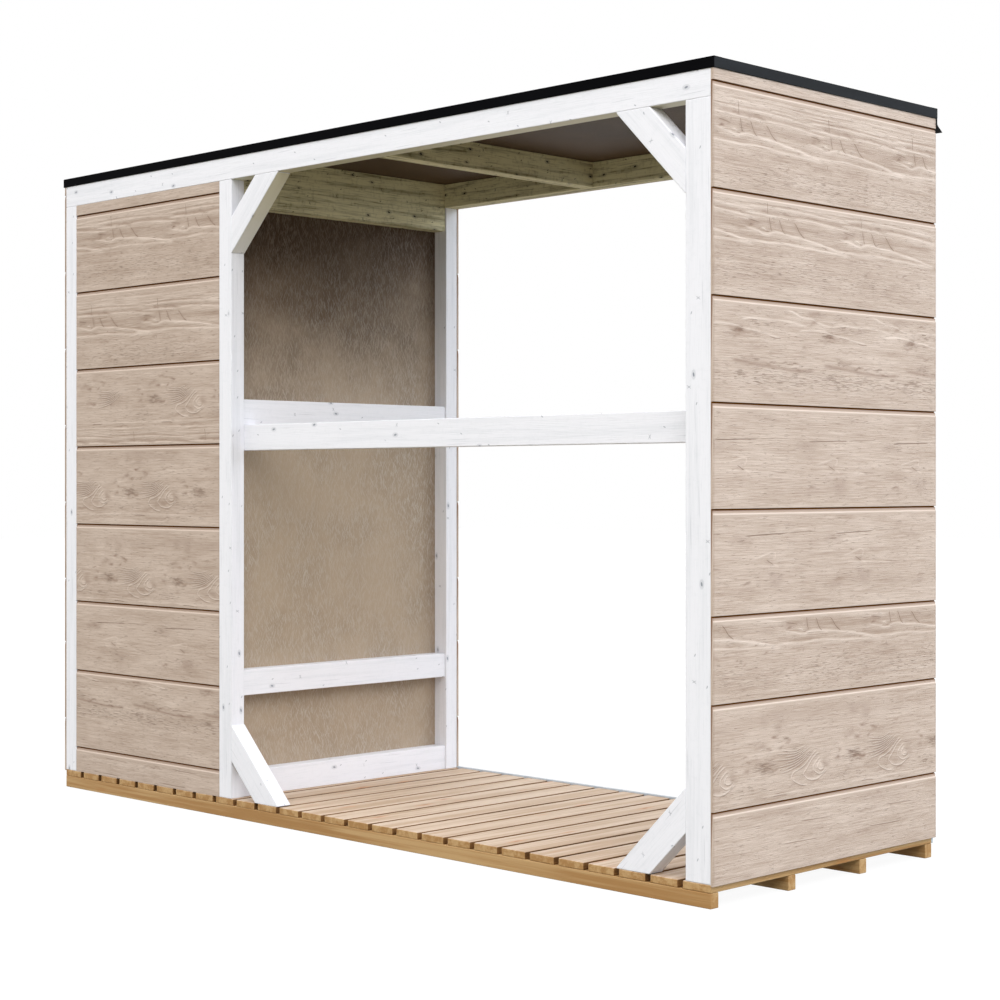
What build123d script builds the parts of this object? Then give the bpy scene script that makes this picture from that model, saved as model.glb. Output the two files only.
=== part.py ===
from build123d import *
import math
import os

# Log store: a clad room at the left end and an open bay for logs beside it.
# X runs along the front, Y from the front to the back and Z up, in millimetres.
# The origin is at ground level in the middle of the overall box.

# Overall sizes of the frame, without cladding and trims
frame_length = 3000.0
frame_depth = 1033.0
post_height = 2045.0

# Timber sections
rail_height = 85.0
rail_thickness = 54.0
post_width = 65.0

# Floor
joist_width = 33.0
joist_height = 41.0
joist_count = 4
board_width = 95.0
board_thickness = 22.0
least_board_gap = 16.0

# Places of the inner pieces, from the left end of the frame or up from the deck
room_length = 913.0
middle_rafter_distance = 1700.0
front_rail_clearance = 1150.0
lower_rail_clearance = 336.0
brace_reach = 245.0

# Cladding, with the heights of its board joints above the ground
cladding_thickness = 9.5
cladding_overlap = 4.0
joint_height = 7.0
joint_depth = 5.0
board_cover = 278.3
end_upper_joint = 756.0
end_lower_joint = 248.0
front_upper_joint = 677.0
front_lower_joint = 149.5
partition_sheet_thickness = 5.5

# Roof
roof_sheet_thickness = 15.0
membrane_thickness = 2.5
trim_thickness = 3.0
trim_drop = 12.0
trim_lip = 0.5

# Drip flashing below the rear trim, and the strip along the deck's rear edge
flashing_thickness = 2.0
flashing_leg = 18.0
flashing_reach = 26.0
flashing_fall = 18.0
strip_rise = 5.0

# Levels
deck_top = joist_height + board_thickness
header_bottom = deck_top + post_height
roof_bottom = header_bottom + rail_height
membrane_bottom = roof_bottom + roof_sheet_thickness
trim_bottom = roof_bottom - trim_drop
trim_top = membrane_bottom + membrane_thickness + trim_lip
cladding_bottom = deck_top - cladding_overlap

# Lines along X
left = -frame_length / 2
right = left + frame_length
middle_post_left = left + room_length
middle_post_right = middle_post_left + post_width
right_post_left = right - rail_height
partition_left = middle_post_left + partition_sheet_thickness
partition_right = partition_left + rail_thickness
right_rail_left = right - rail_thickness

# Lines along Y, with the overall box centred on the origin
rear_overhang = cladding_thickness + flashing_thickness + flashing_reach
front = (trim_thickness - frame_depth - rear_overhang) / 2
rear = front + frame_depth
front_post_back = front + rail_thickness
rear_post_front = rear - rail_thickness
cladding_rear = rear + cladding_thickness

# Spans that several pieces share
full_length = (left, right)
roof_length = (left - cladding_thickness, right + cladding_thickness)
roof_depth = (front, cladding_rear)
front_timber = (front, front_post_back)
rear_timber = (rear_post_front, rear)
inner_depth = (front_post_back, rear_post_front)
post_levels = (deck_top, header_bottom)
top_levels = (header_bottom, roof_bottom)


def save(piece, name):
    """Label a finished piece and write it under that name."""
    piece.label = name
    export_step(piece, f"parts/{name}.step")


def block(name, x_span, y_span, z_span):
    """Save a straight timber or sheet that fills three spans."""
    with BuildPart() as solid:
        with BuildSketch(Plane.XY.offset(z_span[0])):
            with Locations((sum(x_span) / 2, sum(y_span) / 2)):
                Rectangle(x_span[1] - x_span[0], y_span[1] - y_span[0])
        extrude(amount=z_span[1] - z_span[0])
    save(solid.part, name)


def rail_levels(bottom):
    """Lowest and highest level of a rail that starts at a level."""
    return (bottom, bottom + rail_height)


def joists():
    """Bearers on the ground, evenly spaced from the front to the back."""
    names = ["joist_front", "joist_second", "joist_third", "joist_rear"]
    spacing = (frame_depth - joist_width) / (joist_count - 1)
    for number, name in enumerate(names):
        near_side = front + number * spacing
        block(name, full_length, (near_side, near_side + joist_width), (0, joist_height))


def deck():
    """Boards laid from the front to the back, with even gaps between them."""
    count = int((frame_length + least_board_gap) / (board_width + least_board_gap))
    pitch = (frame_length - board_width) / (count - 1)
    with BuildPart() as deck_boards:
        with BuildSketch(Plane.XY.offset(joist_height)):
            with Locations((0, (front + rear) / 2)):
                with GridLocations(pitch, 1, count, 1):
                    Rectangle(board_width, frame_depth)
        extrude(amount=board_thickness)
    save(deck_boards.part, "deck_boards")


def posts():
    """Six posts: two at each end and two beside the room."""
    columns = {
        "left": (left, left + post_width),
        "middle": (middle_post_left, middle_post_right),
        "right": (right_post_left, right),
    }
    for column, x_span in columns.items():
        block(f"front_{column}_post", x_span, front_timber, post_levels)
        block(f"rear_{column}_post", x_span, rear_timber, post_levels)


def long_rails():
    """Header and rear rail on the posts, and the rail behind the front posts."""
    block("front_header", full_length, front_timber, top_levels)
    block("rear_top_rail", full_length, rear_timber, top_levels)
    behind_posts = (front_post_back, front_post_back + rail_thickness)
    bay_levels = rail_levels(deck_top + front_rail_clearance)
    block("front_mid_rail", (partition_left, right), behind_posts, bay_levels)


def rafters():
    """Rafters between the header and the rear rail."""
    right_faces = {
        "rafter_left": left + rail_thickness,
        "rafter_partition": partition_right,
        "rafter_middle": left + middle_rafter_distance,
        "rafter_right": right,
    }
    for name, right_face in right_faces.items():
        block(name, (right_face - rail_thickness, right_face), inner_depth, top_levels)


def cross_rails():
    """Rails from post to post in the partition and in the right end wall."""
    bottoms = {
        "top_rail": header_bottom - rail_height,
        "mid_rail": deck_top + front_rail_clearance + rail_height,
        "lower_rail": deck_top + lower_rail_clearance,
        "bottom_rail": deck_top,
    }
    walls = {
        "partition": (partition_left, partition_right),
        "right_end": (right_rail_left, right),
    }
    for wall, x_span in walls.items():
        for rail, bottom in bottoms.items():
            block(f"{wall}_{rail}", x_span, inner_depth, rail_levels(bottom))


def brace(name, corner_x, corner_z, away_x, away_z):
    """A brace at 45 degrees across the corner of a post and a level timber."""
    inner_reach = brace_reach - rail_height * math.sqrt(2)
    normal = -away_x * away_z
    corner = Plane((corner_x, front, corner_z), x_dir=(away_x, 0, 0), z_dir=(0, normal, 0))
    with BuildPart() as timber:
        with BuildSketch(corner):
            with BuildLine():
                Polyline(
                    (0, inner_reach),
                    (0, brace_reach),
                    (brace_reach, 0),
                    (inner_reach, 0),
                    close=True,
                )
            make_face()
        extrude(amount=normal * rail_thickness)
    save(timber.part, name)


def braces():
    """Four braces in the corners of the open bay's front."""
    brace("brace_upper_left", middle_post_right, header_bottom, 1, -1)
    brace("brace_upper_right", right_post_left, header_bottom, -1, -1)
    brace("brace_lower_left", middle_post_right, deck_top, 1, 1)
    brace("brace_lower_right", right_post_left, deck_top, -1, 1)


def joint_levels(z_span, lower_joint, upper_joint):
    """Levels of the board joints: one below the narrow board, then a steady cover."""
    levels = [lower_joint, lower_joint + board_cover]
    count = int((z_span[1] - joint_height - upper_joint) / board_cover) + 1
    levels += [upper_joint + number * board_cover for number in range(count)]
    return levels


def cladding(name, face, wall_length, z_span, lower_joint, upper_joint):
    """Embossed boards as one sheet with a sunk joint between boards.

    The face plane stands on the sheet's inner side, X outwards and Y up.
    """
    outer_side = cladding_thickness - joint_depth / 2
    with BuildPart() as sheet:
        with BuildSketch(face):
            with Locations((cladding_thickness / 2, sum(z_span) / 2)):
                Rectangle(cladding_thickness, z_span[1] - z_span[0])
            for level in joint_levels(z_span, lower_joint, upper_joint):
                with Locations((outer_side, level)):
                    Rectangle(joint_depth, joint_height, mode=Mode.SUBTRACT)
        extrude(amount=wall_length)
    save(sheet.part, name)


def claddings():
    """Cladding of both ends, and of the room's front and back."""
    end_span = (cladding_bottom, roof_bottom)
    end_length = cladding_rear - front
    left_face = Plane((left, front, 0), x_dir=(-1, 0, 0), z_dir=(0, 1, 0))
    right_face = Plane((right, cladding_rear, 0), x_dir=(1, 0, 0), z_dir=(0, -1, 0))
    rear_face = Plane((left, rear, 0), x_dir=(0, 1, 0), z_dir=(1, 0, 0))
    inner_front = front + cladding_thickness
    front_face = Plane((middle_post_left, inner_front, 0), x_dir=(0, -1, 0), z_dir=(-1, 0, 0))
    front_length = room_length - post_width
    rear_length = room_length + post_width
    end_joints = (end_lower_joint, end_upper_joint)
    front_joints = (front_lower_joint, front_upper_joint)
    cladding("left_end_cladding", left_face, end_length, end_span, *end_joints)
    cladding("right_end_cladding", right_face, end_length, end_span, *end_joints)
    cladding("room_rear_cladding", rear_face, rear_length, end_span, *end_joints)
    cladding("room_front_cladding", front_face, front_length, post_levels, *front_joints)


def partition_sheet():
    """Plain sheet on the room's side of the partition rails."""
    sheet_levels = (deck_top, roof_bottom)
    block("partition_sheet", (middle_post_left, partition_left), inner_depth, sheet_levels)


def rear_boards():
    """Head board behind the rear rail and thin strip along the deck's rear edge."""
    behind_frame = (rear, cladding_rear)
    bay_length = (middle_post_right, right)
    block("rear_head_board", bay_length, behind_frame, top_levels)
    block("deck_edge_strip", bay_length, behind_frame, (joist_height, deck_top + strip_rise))


def roof():
    """Flat roof sheet with a membrane on it."""
    block("roof_sheet", roof_length, roof_depth, (roof_bottom, membrane_bottom))
    membrane_levels = (membrane_bottom, membrane_bottom + membrane_thickness)
    block("roof_membrane", roof_length, roof_depth, membrane_levels)


def trims():
    """Black trims round the roof's edge."""
    levels = (trim_bottom, trim_top)
    outer_left = roof_length[0] - trim_thickness
    outer_right = roof_length[1] + trim_thickness
    trim_length = (outer_left, outer_right)
    block("roof_trim_front", trim_length, (front - trim_thickness, front), levels)
    block("roof_trim_rear", trim_length, (cladding_rear, cladding_rear + trim_thickness), levels)
    block("roof_trim_left", (outer_left, roof_length[0]), roof_depth, levels)
    block("roof_trim_right", (roof_length[1], outer_right), roof_depth, levels)


def drip_flashing():
    """Bent sheet below the rear trim: an upright leg and a leg that falls outwards."""
    outer_face = cladding_rear + flashing_thickness
    bend = trim_bottom - flashing_leg
    lip = outer_face + flashing_reach
    trim_end = roof_length[1] + trim_thickness
    side = Plane((-trim_end, 0, 0), x_dir=(0, 1, 0), z_dir=(1, 0, 0))
    with BuildPart() as flashing:
        with BuildSketch(side):
            with BuildLine():
                Polyline(
                    (cladding_rear, trim_bottom),
                    (cladding_rear, bend - flashing_thickness),
                    (lip, bend - flashing_fall - flashing_thickness),
                    (lip, bend - flashing_fall),
                    (outer_face, bend),
                    (outer_face, trim_bottom),
                    close=True,
                )
            make_face()
        extrude(amount=2 * trim_end)
    save(flashing.part, "drip_flashing")


os.makedirs("parts", exist_ok=True)
joists()
deck()
posts()
long_rails()
rafters()
cross_rails()
braces()
claddings()
partition_sheet()
rear_boards()
roof()
trims()
drip_flashing()
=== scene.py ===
# %% [markdown]
# # A garden log store, dressed for its portrait
# The construction is already done: every timber, board and sheet stands in a fixed frame at its real size.
# This lesson gives each of them its finish. We keep the sizes, work out softer and richer surfaces with
# numpy arrays, and mix paints, woods and felts from nodes, so that no picture file is needed.

import bpy
import numpy as np
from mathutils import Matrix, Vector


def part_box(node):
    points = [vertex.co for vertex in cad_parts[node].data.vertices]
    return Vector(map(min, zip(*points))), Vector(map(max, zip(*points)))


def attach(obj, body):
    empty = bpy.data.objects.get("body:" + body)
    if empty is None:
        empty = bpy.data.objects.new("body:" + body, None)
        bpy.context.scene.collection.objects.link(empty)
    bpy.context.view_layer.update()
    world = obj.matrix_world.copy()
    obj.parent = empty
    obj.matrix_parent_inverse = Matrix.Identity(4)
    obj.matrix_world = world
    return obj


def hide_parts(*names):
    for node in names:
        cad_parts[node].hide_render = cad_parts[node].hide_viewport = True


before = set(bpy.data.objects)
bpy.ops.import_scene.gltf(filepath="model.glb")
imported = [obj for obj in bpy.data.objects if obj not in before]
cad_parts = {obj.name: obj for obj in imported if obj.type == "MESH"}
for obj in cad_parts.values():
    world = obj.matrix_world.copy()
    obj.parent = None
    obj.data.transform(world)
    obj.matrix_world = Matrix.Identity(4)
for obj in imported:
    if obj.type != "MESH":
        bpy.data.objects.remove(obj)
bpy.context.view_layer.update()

# %% [markdown]
# ## The camera
# The store is seen from its front right corner, at about chest height, with a level camera and a fairly
# long lens. A level camera keeps all posts upright in the picture. Turning by about 45 degrees shows the
# front and the right wall alike, and a small downward shift puts the horizon a little above the middle.

# %% Camera
camera_data = bpy.data.cameras.new("portrait")
camera_data.lens = 72.4
camera_data.sensor_width = 36.0
camera_data.shift_y = -0.0172
camera_data.clip_end = 200.0
camera = bpy.data.objects.new("portrait", camera_data)
camera.location = (4.7886, -4.6096, 1.1058)
camera.rotation_euler = np.radians((90.0, 0.0, 44.88))
bpy.context.scene.collection.objects.link(camera)
bpy.context.scene.camera = camera
bpy.context.scene.view_settings.view_transform = "Standard"
print("Camera at", tuple(camera.location), "with a lens of", camera_data.lens, "mm")

# %% [markdown]
# ## Mixing finishes
# A finish could be painted as an image, but then it blurs close up. Here it is a graph of nodes that works
# out a colour for every point. The little class below keeps such a graph readable: each method adds one
# node and hands back its output, so a finish reads as a recipe from top to bottom.

# %% Helpers for finishes
def colour(red, green, blue):
    """A colour from 0 to 255 as the eye sees it, turned into the light values that a shader wants."""
    shown = np.array((red, green, blue)) / 255.0
    light = np.where(shown <= 0.04045, shown / 12.92, ((shown + 0.055) / 1.055) ** 2.4)
    return (*light.tolist(), 1.0)


class Finish:
    """A finish being mixed: each method adds one node and returns the output to carry on from."""

    def __init__(self, name, roughness, specular=0.3):
        self.material = bpy.data.materials.new(name)
        self.material.use_nodes = True
        self.tree = self.material.node_tree
        self.shader = self.tree.nodes["Principled BSDF"]
        self.shader.inputs["Roughness"].default_value = roughness
        self.shader.inputs["Specular IOR Level"].default_value = specular

    def add(self, kind, sockets, output=0, **settings):
        """Add a node, set its properties, and fill its sockets with numbers or with other outputs."""
        node = self.tree.nodes.new(kind)
        for name, value in settings.items():
            setattr(node, name, value)
        for socket, value in sockets.items():
            self.fill(node.inputs[socket], value)
        return node.outputs[output]

    def fill(self, socket, value):
        """Give a socket its value: a link if it is another node's output, or else a number or colour."""
        if isinstance(value, bpy.types.NodeSocket):
            self.tree.links.new(value, socket)
        else:
            socket.default_value = value

    def attribute(self, name):
        """A vector that the mesh carries at each of its points."""
        return self.add("ShaderNodeAttribute", {}, "Vector", attribute_name=name)

    def parts(self, vector):
        """The three numbers of a vector."""
        return self.add("ShaderNodeSeparateXYZ", {0: vector}).node.outputs

    def stretch(self, vector, scale, shift=(0.0, 0.0, 0.0)):
        """The same place in a stretched space: a large scale along a direction gives short features."""
        return self.add("ShaderNodeMapping", {"Vector": vector, "Scale": scale, "Location": shift})

    def noise(self, vector, detail=2.0, roughness=0.5, distortion=0.0):
        """Cloudy noise from about 0.25 to 0.75, with features about one unit across."""
        sockets = {"Vector": vector, "Scale": 1.0, "Detail": detail, "Roughness": roughness}
        return self.add("ShaderNodeTexNoise", {**sockets, "Distortion": distortion})

    def cells(self, vector):
        """Scattered spots: the distance to the nearest spot, and a number of its own for each spot."""
        distance = self.add("ShaderNodeTexVoronoi", {"Vector": vector, "Scale": 1.0})
        own_number = self.parts(distance.node.outputs["Color"])[0]
        return distance, own_number

    def maths(self, operation, first, second=0.0):
        """One sum on two values."""
        return self.add("ShaderNodeMath", {0: first, 1: second}, operation=operation)

    def step(self, value, start, end):
        """0 on the start side, 1 on the end side, and smooth between them."""
        sockets = {"Value": value, "From Min": start, "From Max": end}
        return self.add("ShaderNodeMapRange", sockets, interpolation_type="SMOOTHSTEP")

    def blend(self, share, first, second):
        """The first colour where the share is 0, the second where it is 1."""
        return self.add("ShaderNodeMix", {0: share, 6: first, 7: second}, 2, data_type="RGBA")

    def plus(self, total, value, weight):
        """A total, and a value times its weight added to it."""
        return self.maths("ADD", total, self.maths("MULTIPLY", value, weight))

    def over(self, base, tint, share, weight):
        """The base with a tint laid over it, as strongly as a share times a weight."""
        return self.blend(self.maths("MULTIPLY", share, weight), base, tint)

    def relief(self, height, distance):
        """Bump: heights from 0 to 1 stand that many metres proud."""
        return self.add("ShaderNodeBump", {"Height": height, "Distance": distance, "Strength": 1.0})

    def done(self, base, normal):
        """Join the worked out colour and relief to the shader."""
        self.fill(self.shader.inputs["Base Color"], base)
        self.fill(self.shader.inputs["Normal"], normal)
        print("Finish", self.material.name, "has", len(self.tree.nodes), "nodes")
        return self.material


# %% [markdown]
# ## Painted timber, and a darker khaki copy for the shade under the roof
# The posts and rails are planed softwood under thin white paint: faint grey streaks, small dark knots and
# short slanting checks still show. The rafters and top rails get a khaki copy of the same finish, much
# darker along the grain: painted shade for the dim space up under the roof. Both finishes read the
# attribute `timber`, which holds the place in the timber along its own length and across it, so the grain
# turns with a brace.

# %% Marks in timber
def marks(finish, wood, cell, chosen, size, slant, shift):
    """Small ovals, one or none in each cell of a net, as a share that is 1 in their middle.

    The two directions across a timber are added up to one, so that the net wraps round its arrises. Within
    a cell, the distance from the cell's own spot is measured along and across a slanted line, in sizes.
    """
    along, first, second = finish.parts(wood)
    across = finish.maths("ADD", first, second)
    flat = finish.add("ShaderNodeCombineXYZ", {0: along, 1: across, 2: 0.0})
    net = finish.stretch(flat, (1 / cell[0], 1 / cell[1], 1.0), shift)
    distance = finish.add("ShaderNodeTexVoronoi", {"Vector": net, "Scale": 1.0}, voronoi_dimensions="2D")
    outputs = distance.node.outputs
    own = finish.parts(outputs["Color"])[0]
    away = finish.add("ShaderNodeVectorMath", {0: net, 1: outputs["Position"]}, operation="SUBTRACT")
    away_along, away_across = finish.parts(away)[:2]
    away_along = finish.maths("MULTIPLY", away_along, cell[0])
    away_across = finish.maths("MULTIPLY", away_across, cell[1])
    cosine, sine = float(np.cos(np.radians(slant))), float(np.sin(np.radians(slant)))
    lengthwise = finish.plus(finish.maths("MULTIPLY", away_along, cosine), away_across, sine)
    sideways = finish.plus(finish.maths("MULTIPLY", away_across, cosine), away_along, -sine)
    lengthwise = finish.maths("POWER", finish.maths("DIVIDE", lengthwise, size[0]), 2.0)
    sideways = finish.maths("POWER", finish.maths("DIVIDE", sideways, size[1]), 2.0)
    inside = finish.step(finish.maths("ADD", lengthwise, sideways), 1.3, 0.5)
    return finish.maths("MULTIPLY", inside, finish.step(own, 1 - chosen, 1 - chosen + 0.02))


# %% [markdown]
# ### The recipe for timber
# Streaks along the grain could be a wave texture, but its lines are too even for wood. Noise that is drawn
# out along the grain gives streaks that start and stop. On top come the marks: a knot is a dark eye in a
# soft halo, a check two short slanting cracks, and a hair a long thin one.

# %% Timber finish
KNOT_SHARE = 0.3
SPECK_SHARE = 0.35
CHECK_SHARE = 0.4
HAIR_SHARE = 0.5


def timber_finish(name, light, streak, dark, streak_share, mark_share, roughness, close=1.0, underside_shade=None):
    """Streaks and fibres are noise drawn out along the grain; knots and checks are marks.

    A close of 0.5 puts the marks in a net of half the size, so there are four times as many. Faces that
    look down can be given a khaki painted shade, which comes in between 1.75 and 2.12 m above the ground.
    """
    finish = Finish(name, roughness)
    wood = finish.attribute("timber")
    broad = finish.noise(finish.stretch(wood, (2.2, 48.0, 48.0)), detail=4.0, roughness=0.6)
    fine = finish.noise(finish.stretch(wood, (14.0, 300.0, 300.0)), detail=3.0)
    brushed = finish.noise(finish.stretch(wood, (90.0, 60.0, 60.0)), detail=2.0)
    shade = finish.maths("MULTIPLY", finish.step(broad, 0.45, 0.72), streak_share)
    shade = finish.plus(shade, finish.step(fine, 0.52, 0.72), streak_share * 0.7)
    shade = finish.plus(shade, finish.step(brushed, 0.5, 0.8), streak_share * 0.4)
    base = finish.blend(shade, light, streak)

    knot_net = (0.19 * close, 0.085 * close)
    speck_net = (0.11 * close, 0.06 * close)
    check_net = (0.20 * close, 0.09 * close)
    halo = marks(finish, wood, knot_net, KNOT_SHARE, (0.014, 0.008), 0.0, (0.0, 0.0, 0.0))
    eye = marks(finish, wood, knot_net, KNOT_SHARE, (0.0062, 0.0030), 12.0, (0.0, 0.0, 0.0))
    speck = marks(finish, wood, speck_net, SPECK_SHARE, (0.0048, 0.0018), -25.0, (6.4, 2.9, 0.0))
    check = marks(finish, wood, check_net, CHECK_SHARE, (0.0085, 0.0014), 55.0, (3.3, 1.7, 0.0))
    split = marks(finish, wood, check_net, CHECK_SHARE, (0.0075, 0.0013), 118.0, (3.3, 1.7, 0.0))
    hair = marks(finish, wood, (0.30, 0.04), HAIR_SHARE, (0.045, 0.0010), 1.5, (5.2, 8.4, 0.0))
    cracks = finish.maths("MAXIMUM", check, split)
    spots = finish.maths("MAXIMUM", eye, finish.maths("MULTIPLY", speck, 0.7))
    for mark, weight in ((halo, 0.28), (hair, 0.3), (cracks, 0.55), (spots, 1.0)):
        base = finish.over(base, dark, mark, mark_share * weight)

    # Painted shade: faces that look down, high up under the roof, are tinted khaki as if in shade.
    if underside_shade is not None:
        turned, facing = finish.parts(finish.add("ShaderNodeTexCoord", {}, "Normal"))[1:]
        height = finish.parts(finish.add("ShaderNodeTexCoord", {}, "Object"))[2]
        square = finish.step(finish.maths("ABSOLUTE", turned), 0.35, 0.1)
        down = finish.maths("MULTIPLY", finish.step(facing, -0.4, -0.6), square)
        base = finish.over(base, underside_shade, finish.maths("MULTIPLY", down, finish.step(height, 1.75, 2.12)), 0.8)
    rise = finish.maths("SUBTRACT", fine, finish.maths("MULTIPLY", cracks, 0.8))
    return finish.done(base, finish.relief(rise, 0.0005))


# The white paint's khaki colour for faces that look down is painted shade under the roof.
white_paint = timber_finish(
    "white_paint", colour(232, 232, 238), colour(212, 214, 220), colour(104, 111, 124),
    streak_share=0.42, mark_share=0.75, roughness=0.5, underside_shade=colour(206, 198, 164)
)
# A darker khaki copy of the timber finish: painted shade for the rafters and top rails under the roof.
khaki_shade_timber = timber_finish(
    "khaki_shade_timber", colour(218, 211, 176), colour(126, 118, 88), colour(30, 26, 18),
    streak_share=0.85, mark_share=1.0, roughness=0.7, close=0.6
)
# The strip along the rear edge of the deck is given a blue-grey colour, darker than the white timbers.
blue_grey_finish = timber_finish(
    "blue_grey_finish", colour(196, 205, 213), colour(176, 186, 195), colour(120, 128, 136),
    streak_share=0.5, mark_share=0.3, roughness=0.45
)

# %% [markdown]
# ## Deck and bearer wood
# The bearers and the sawn ends of the deck boards are golden softwood with orange knots. The boards' tops
# have bleached to a paler, pinker tan. The faces in the gaps between them are deep brown: some dirt, and
# painted shade for the narrow gaps. One recipe makes all three, with other colours: pale and dark bands
# along the grain, fine fibres in them, and knots with a reddish ring of stain around each.

# %% Pine finish
def pine_finish(name, pale, deep, knot, stain):
    """Bands and fibres are drawn out noises; a knot is a spot, and its stain a wider ring about it."""
    finish = Finish(name, 0.62)
    wood = finish.attribute("timber")
    bands = finish.noise(finish.stretch(wood, (1.3, 34.0, 34.0)), detail=3.0, roughness=0.55)
    ringed = finish.stretch(wood, (1.6, 110.0, 110.0), (2.0, 5.0, 1.0))
    rings = finish.noise(ringed, detail=2.0, distortion=0.3)
    fibres = finish.noise(finish.stretch(wood, (10.0, 380.0, 380.0)), detail=3.0)
    share = finish.plus(finish.step(bands, 0.36, 0.64), fibres, 0.7)
    share = finish.plus(share, finish.step(rings, 0.4, 0.62), 0.45)
    base = finish.blend(finish.maths("SUBTRACT", share, 0.5), pale, deep)
    distance, own = finish.cells(finish.stretch(wood, (4.4, 17.0, 17.0)))
    chosen = finish.step(own, 0.42, 0.47)
    halo = finish.maths("MULTIPLY", finish.step(distance, 0.26, 0.06), chosen)
    base = finish.over(base, stain, halo, 0.55)
    eye = finish.maths("MULTIPLY", finish.step(distance, 0.085, 0.04), chosen)
    base = finish.over(base, knot, eye, 0.8)
    return finish.done(base, finish.relief(fibres, 0.0006))


deck_top_finish = pine_finish(
    "deck_top", colour(202, 182, 163), colour(180, 154, 129), colour(140, 82, 46), colour(190, 134, 96)
)
sawn_pine = pine_finish(
    "sawn_pine", colour(184, 150, 104), colour(160, 120, 72), colour(112, 66, 28), colour(166, 106, 50)
)
# Deep brown for the faces in the gaps between boards: some dirt, and painted shade.
gap_shade_pine = pine_finish(
    "gap_shade_pine", colour(128, 90, 48), colour(96, 64, 30), colour(60, 36, 16), colour(104, 64, 28)
)

# %% [markdown]
# ## Timbers with eased edges
# A planed timber never has a knife edge: its arrises are rounded by a couple of millimetres, and that thin
# highlight is what makes it look like a real thing. We carry a convex outline along one direction. Each of
# its corners is an arc, and towards both ends the outline shrinks along a quarter circle, so that the end
# edges are rounded as well.

# %% Mesh from arrays
def mesh_piece(name, node, shape, finishes, attributes):
    """An object from arrays, which takes the place of a node of the frame.

    Its shape is the points, the four-sided faces, the larger end faces, and which of the four-sided faces
    are flat. Each attribute is one vector for each point.
    """
    points, quads, caps, flat = shape
    mesh = bpy.data.meshes.new(name)
    corners = np.concatenate([quads.ravel(), *caps])
    counts = np.concatenate([np.full(len(quads), 4), np.array([len(cap) for cap in caps], int)])
    starts = np.concatenate([[0], np.cumsum(counts)[:-1]])
    mesh.vertices.add(len(points))
    mesh.vertices.foreach_set("co", points.astype(np.float32).ravel())
    mesh.loops.add(len(corners))
    mesh.loops.foreach_set("vertex_index", corners.astype(np.int32))
    mesh.polygons.add(len(counts))
    mesh.polygons.foreach_set("loop_start", starts.astype(np.int32))
    mesh.polygons.foreach_set("use_smooth", np.concatenate([~flat, np.zeros(len(caps), bool)]))
    for key, vectors in attributes.items():
        layer = mesh.attributes.new(key, "FLOAT_VECTOR", "POINT")
        layer.data.foreach_set("vector", vectors.astype(np.float32).ravel())
    for finish in finishes:
        mesh.materials.append(finish)
    mesh.update(calc_edges=True)
    piece = bpy.data.objects.new(name, mesh)
    bpy.context.scene.collection.objects.link(piece)
    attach(piece, "root")
    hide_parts(node)
    return piece


def spans(node):
    """The three spans that a node fills, in metres."""
    low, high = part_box(node)
    return np.array([(low[i], high[i]) for i in range(3)])


# %% Eased solid
ARC_STEPS = 3
END_BENDS = (84.0, 56.0, 28.0, 0.0)


def eased_solid(outline, axis, span, arris):
    """Shape of a convex outline carried along an axis, with all its edges rounded.

    The outline runs anticlockwise in the plane of the two other axes, taken in the order that follows the
    axis. Each corner's arc is drawn about the point that lies one arris inside both edges, and a ring that
    is drawn in by some depth has arcs about the same points with that much less radius. The rings near an
    end stand at END_BENDS degrees on a quarter circle.
    """
    outline = np.array(outline, float)
    sides = np.roll(outline, -1, axis=0) - outline
    sides /= np.linalg.norm(sides, axis=1)[:, None]
    after = np.stack([sides[:, 1], -sides[:, 0]], axis=1)
    before = np.roll(after, 1, axis=0)
    centres = outline - arris * (before + after) / (1 + (before * after).sum(1))[:, None]
    start = np.arctan2(before[:, 1], before[:, 0])
    turn = (np.arctan2(after[:, 1], after[:, 0]) - start) % (2 * np.pi)
    angles = start[:, None] + turn[:, None] * np.linspace(0, 1, ARC_STEPS + 1)
    rays = np.stack([np.cos(angles), np.sin(angles)], axis=-1)
    bend = np.radians(END_BENDS)
    drawn_in = arris * (1 - np.cos(bend))
    off_end = arris * (1 - np.sin(bend))
    depths = np.concatenate([drawn_in, drawn_in[::-1]])
    places = np.concatenate([span[0] + off_end, span[1] - off_end[::-1]])
    rings = centres[None, :, None, :] + (arris - depths)[:, None, None, None] * rays[None]
    rings = rings.reshape(len(places), -1, 2)
    around = rings.shape[1]
    points = np.empty((len(places), around, 3))
    points[..., axis] = places[:, None]
    points[..., (axis + 1) % 3] = rings[..., 0]
    points[..., (axis + 2) % 3] = rings[..., 1]
    row = np.arange(len(places) - 1)[:, None] * around
    here = np.arange(around)[None, :]
    following = (here + 1) % around
    quads = np.stack([row + here, row + following, row + around + following, row + around + here], axis=-1)
    on_flat = (here % (ARC_STEPS + 1) == ARC_STEPS) & (row // around == len(bend) - 1)
    caps = [np.arange(around)[::-1], np.arange(around) + (len(places) - 1) * around]
    return points.reshape(-1, 3), quads.reshape(-1, 4), caps, on_flat.ravel()


# %% Grain coordinates
def grain(points, along, seed):
    """Where each point lies in its timber: along the grain, and across it twice, with a shift of its own."""
    along = np.array(along, float) / np.linalg.norm(along)
    helper = np.array((0.0, 1.0, 0.0)) if abs(along[1]) < 0.9 else np.array((1.0, 0.0, 0.0))
    across = np.cross(along, helper)
    across /= np.linalg.norm(across)
    third = np.cross(along, across)
    shift = np.array((seed * 7.31, seed * 1.93, seed * 0.77))
    return points @ np.stack([along, across, third], axis=1) + shift


def rectangle(first, second):
    """A rectangle from two spans, running anticlockwise."""
    return [(first[0], second[0]), (first[1], second[0]), (first[1], second[1]), (first[0], second[1])]


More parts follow.
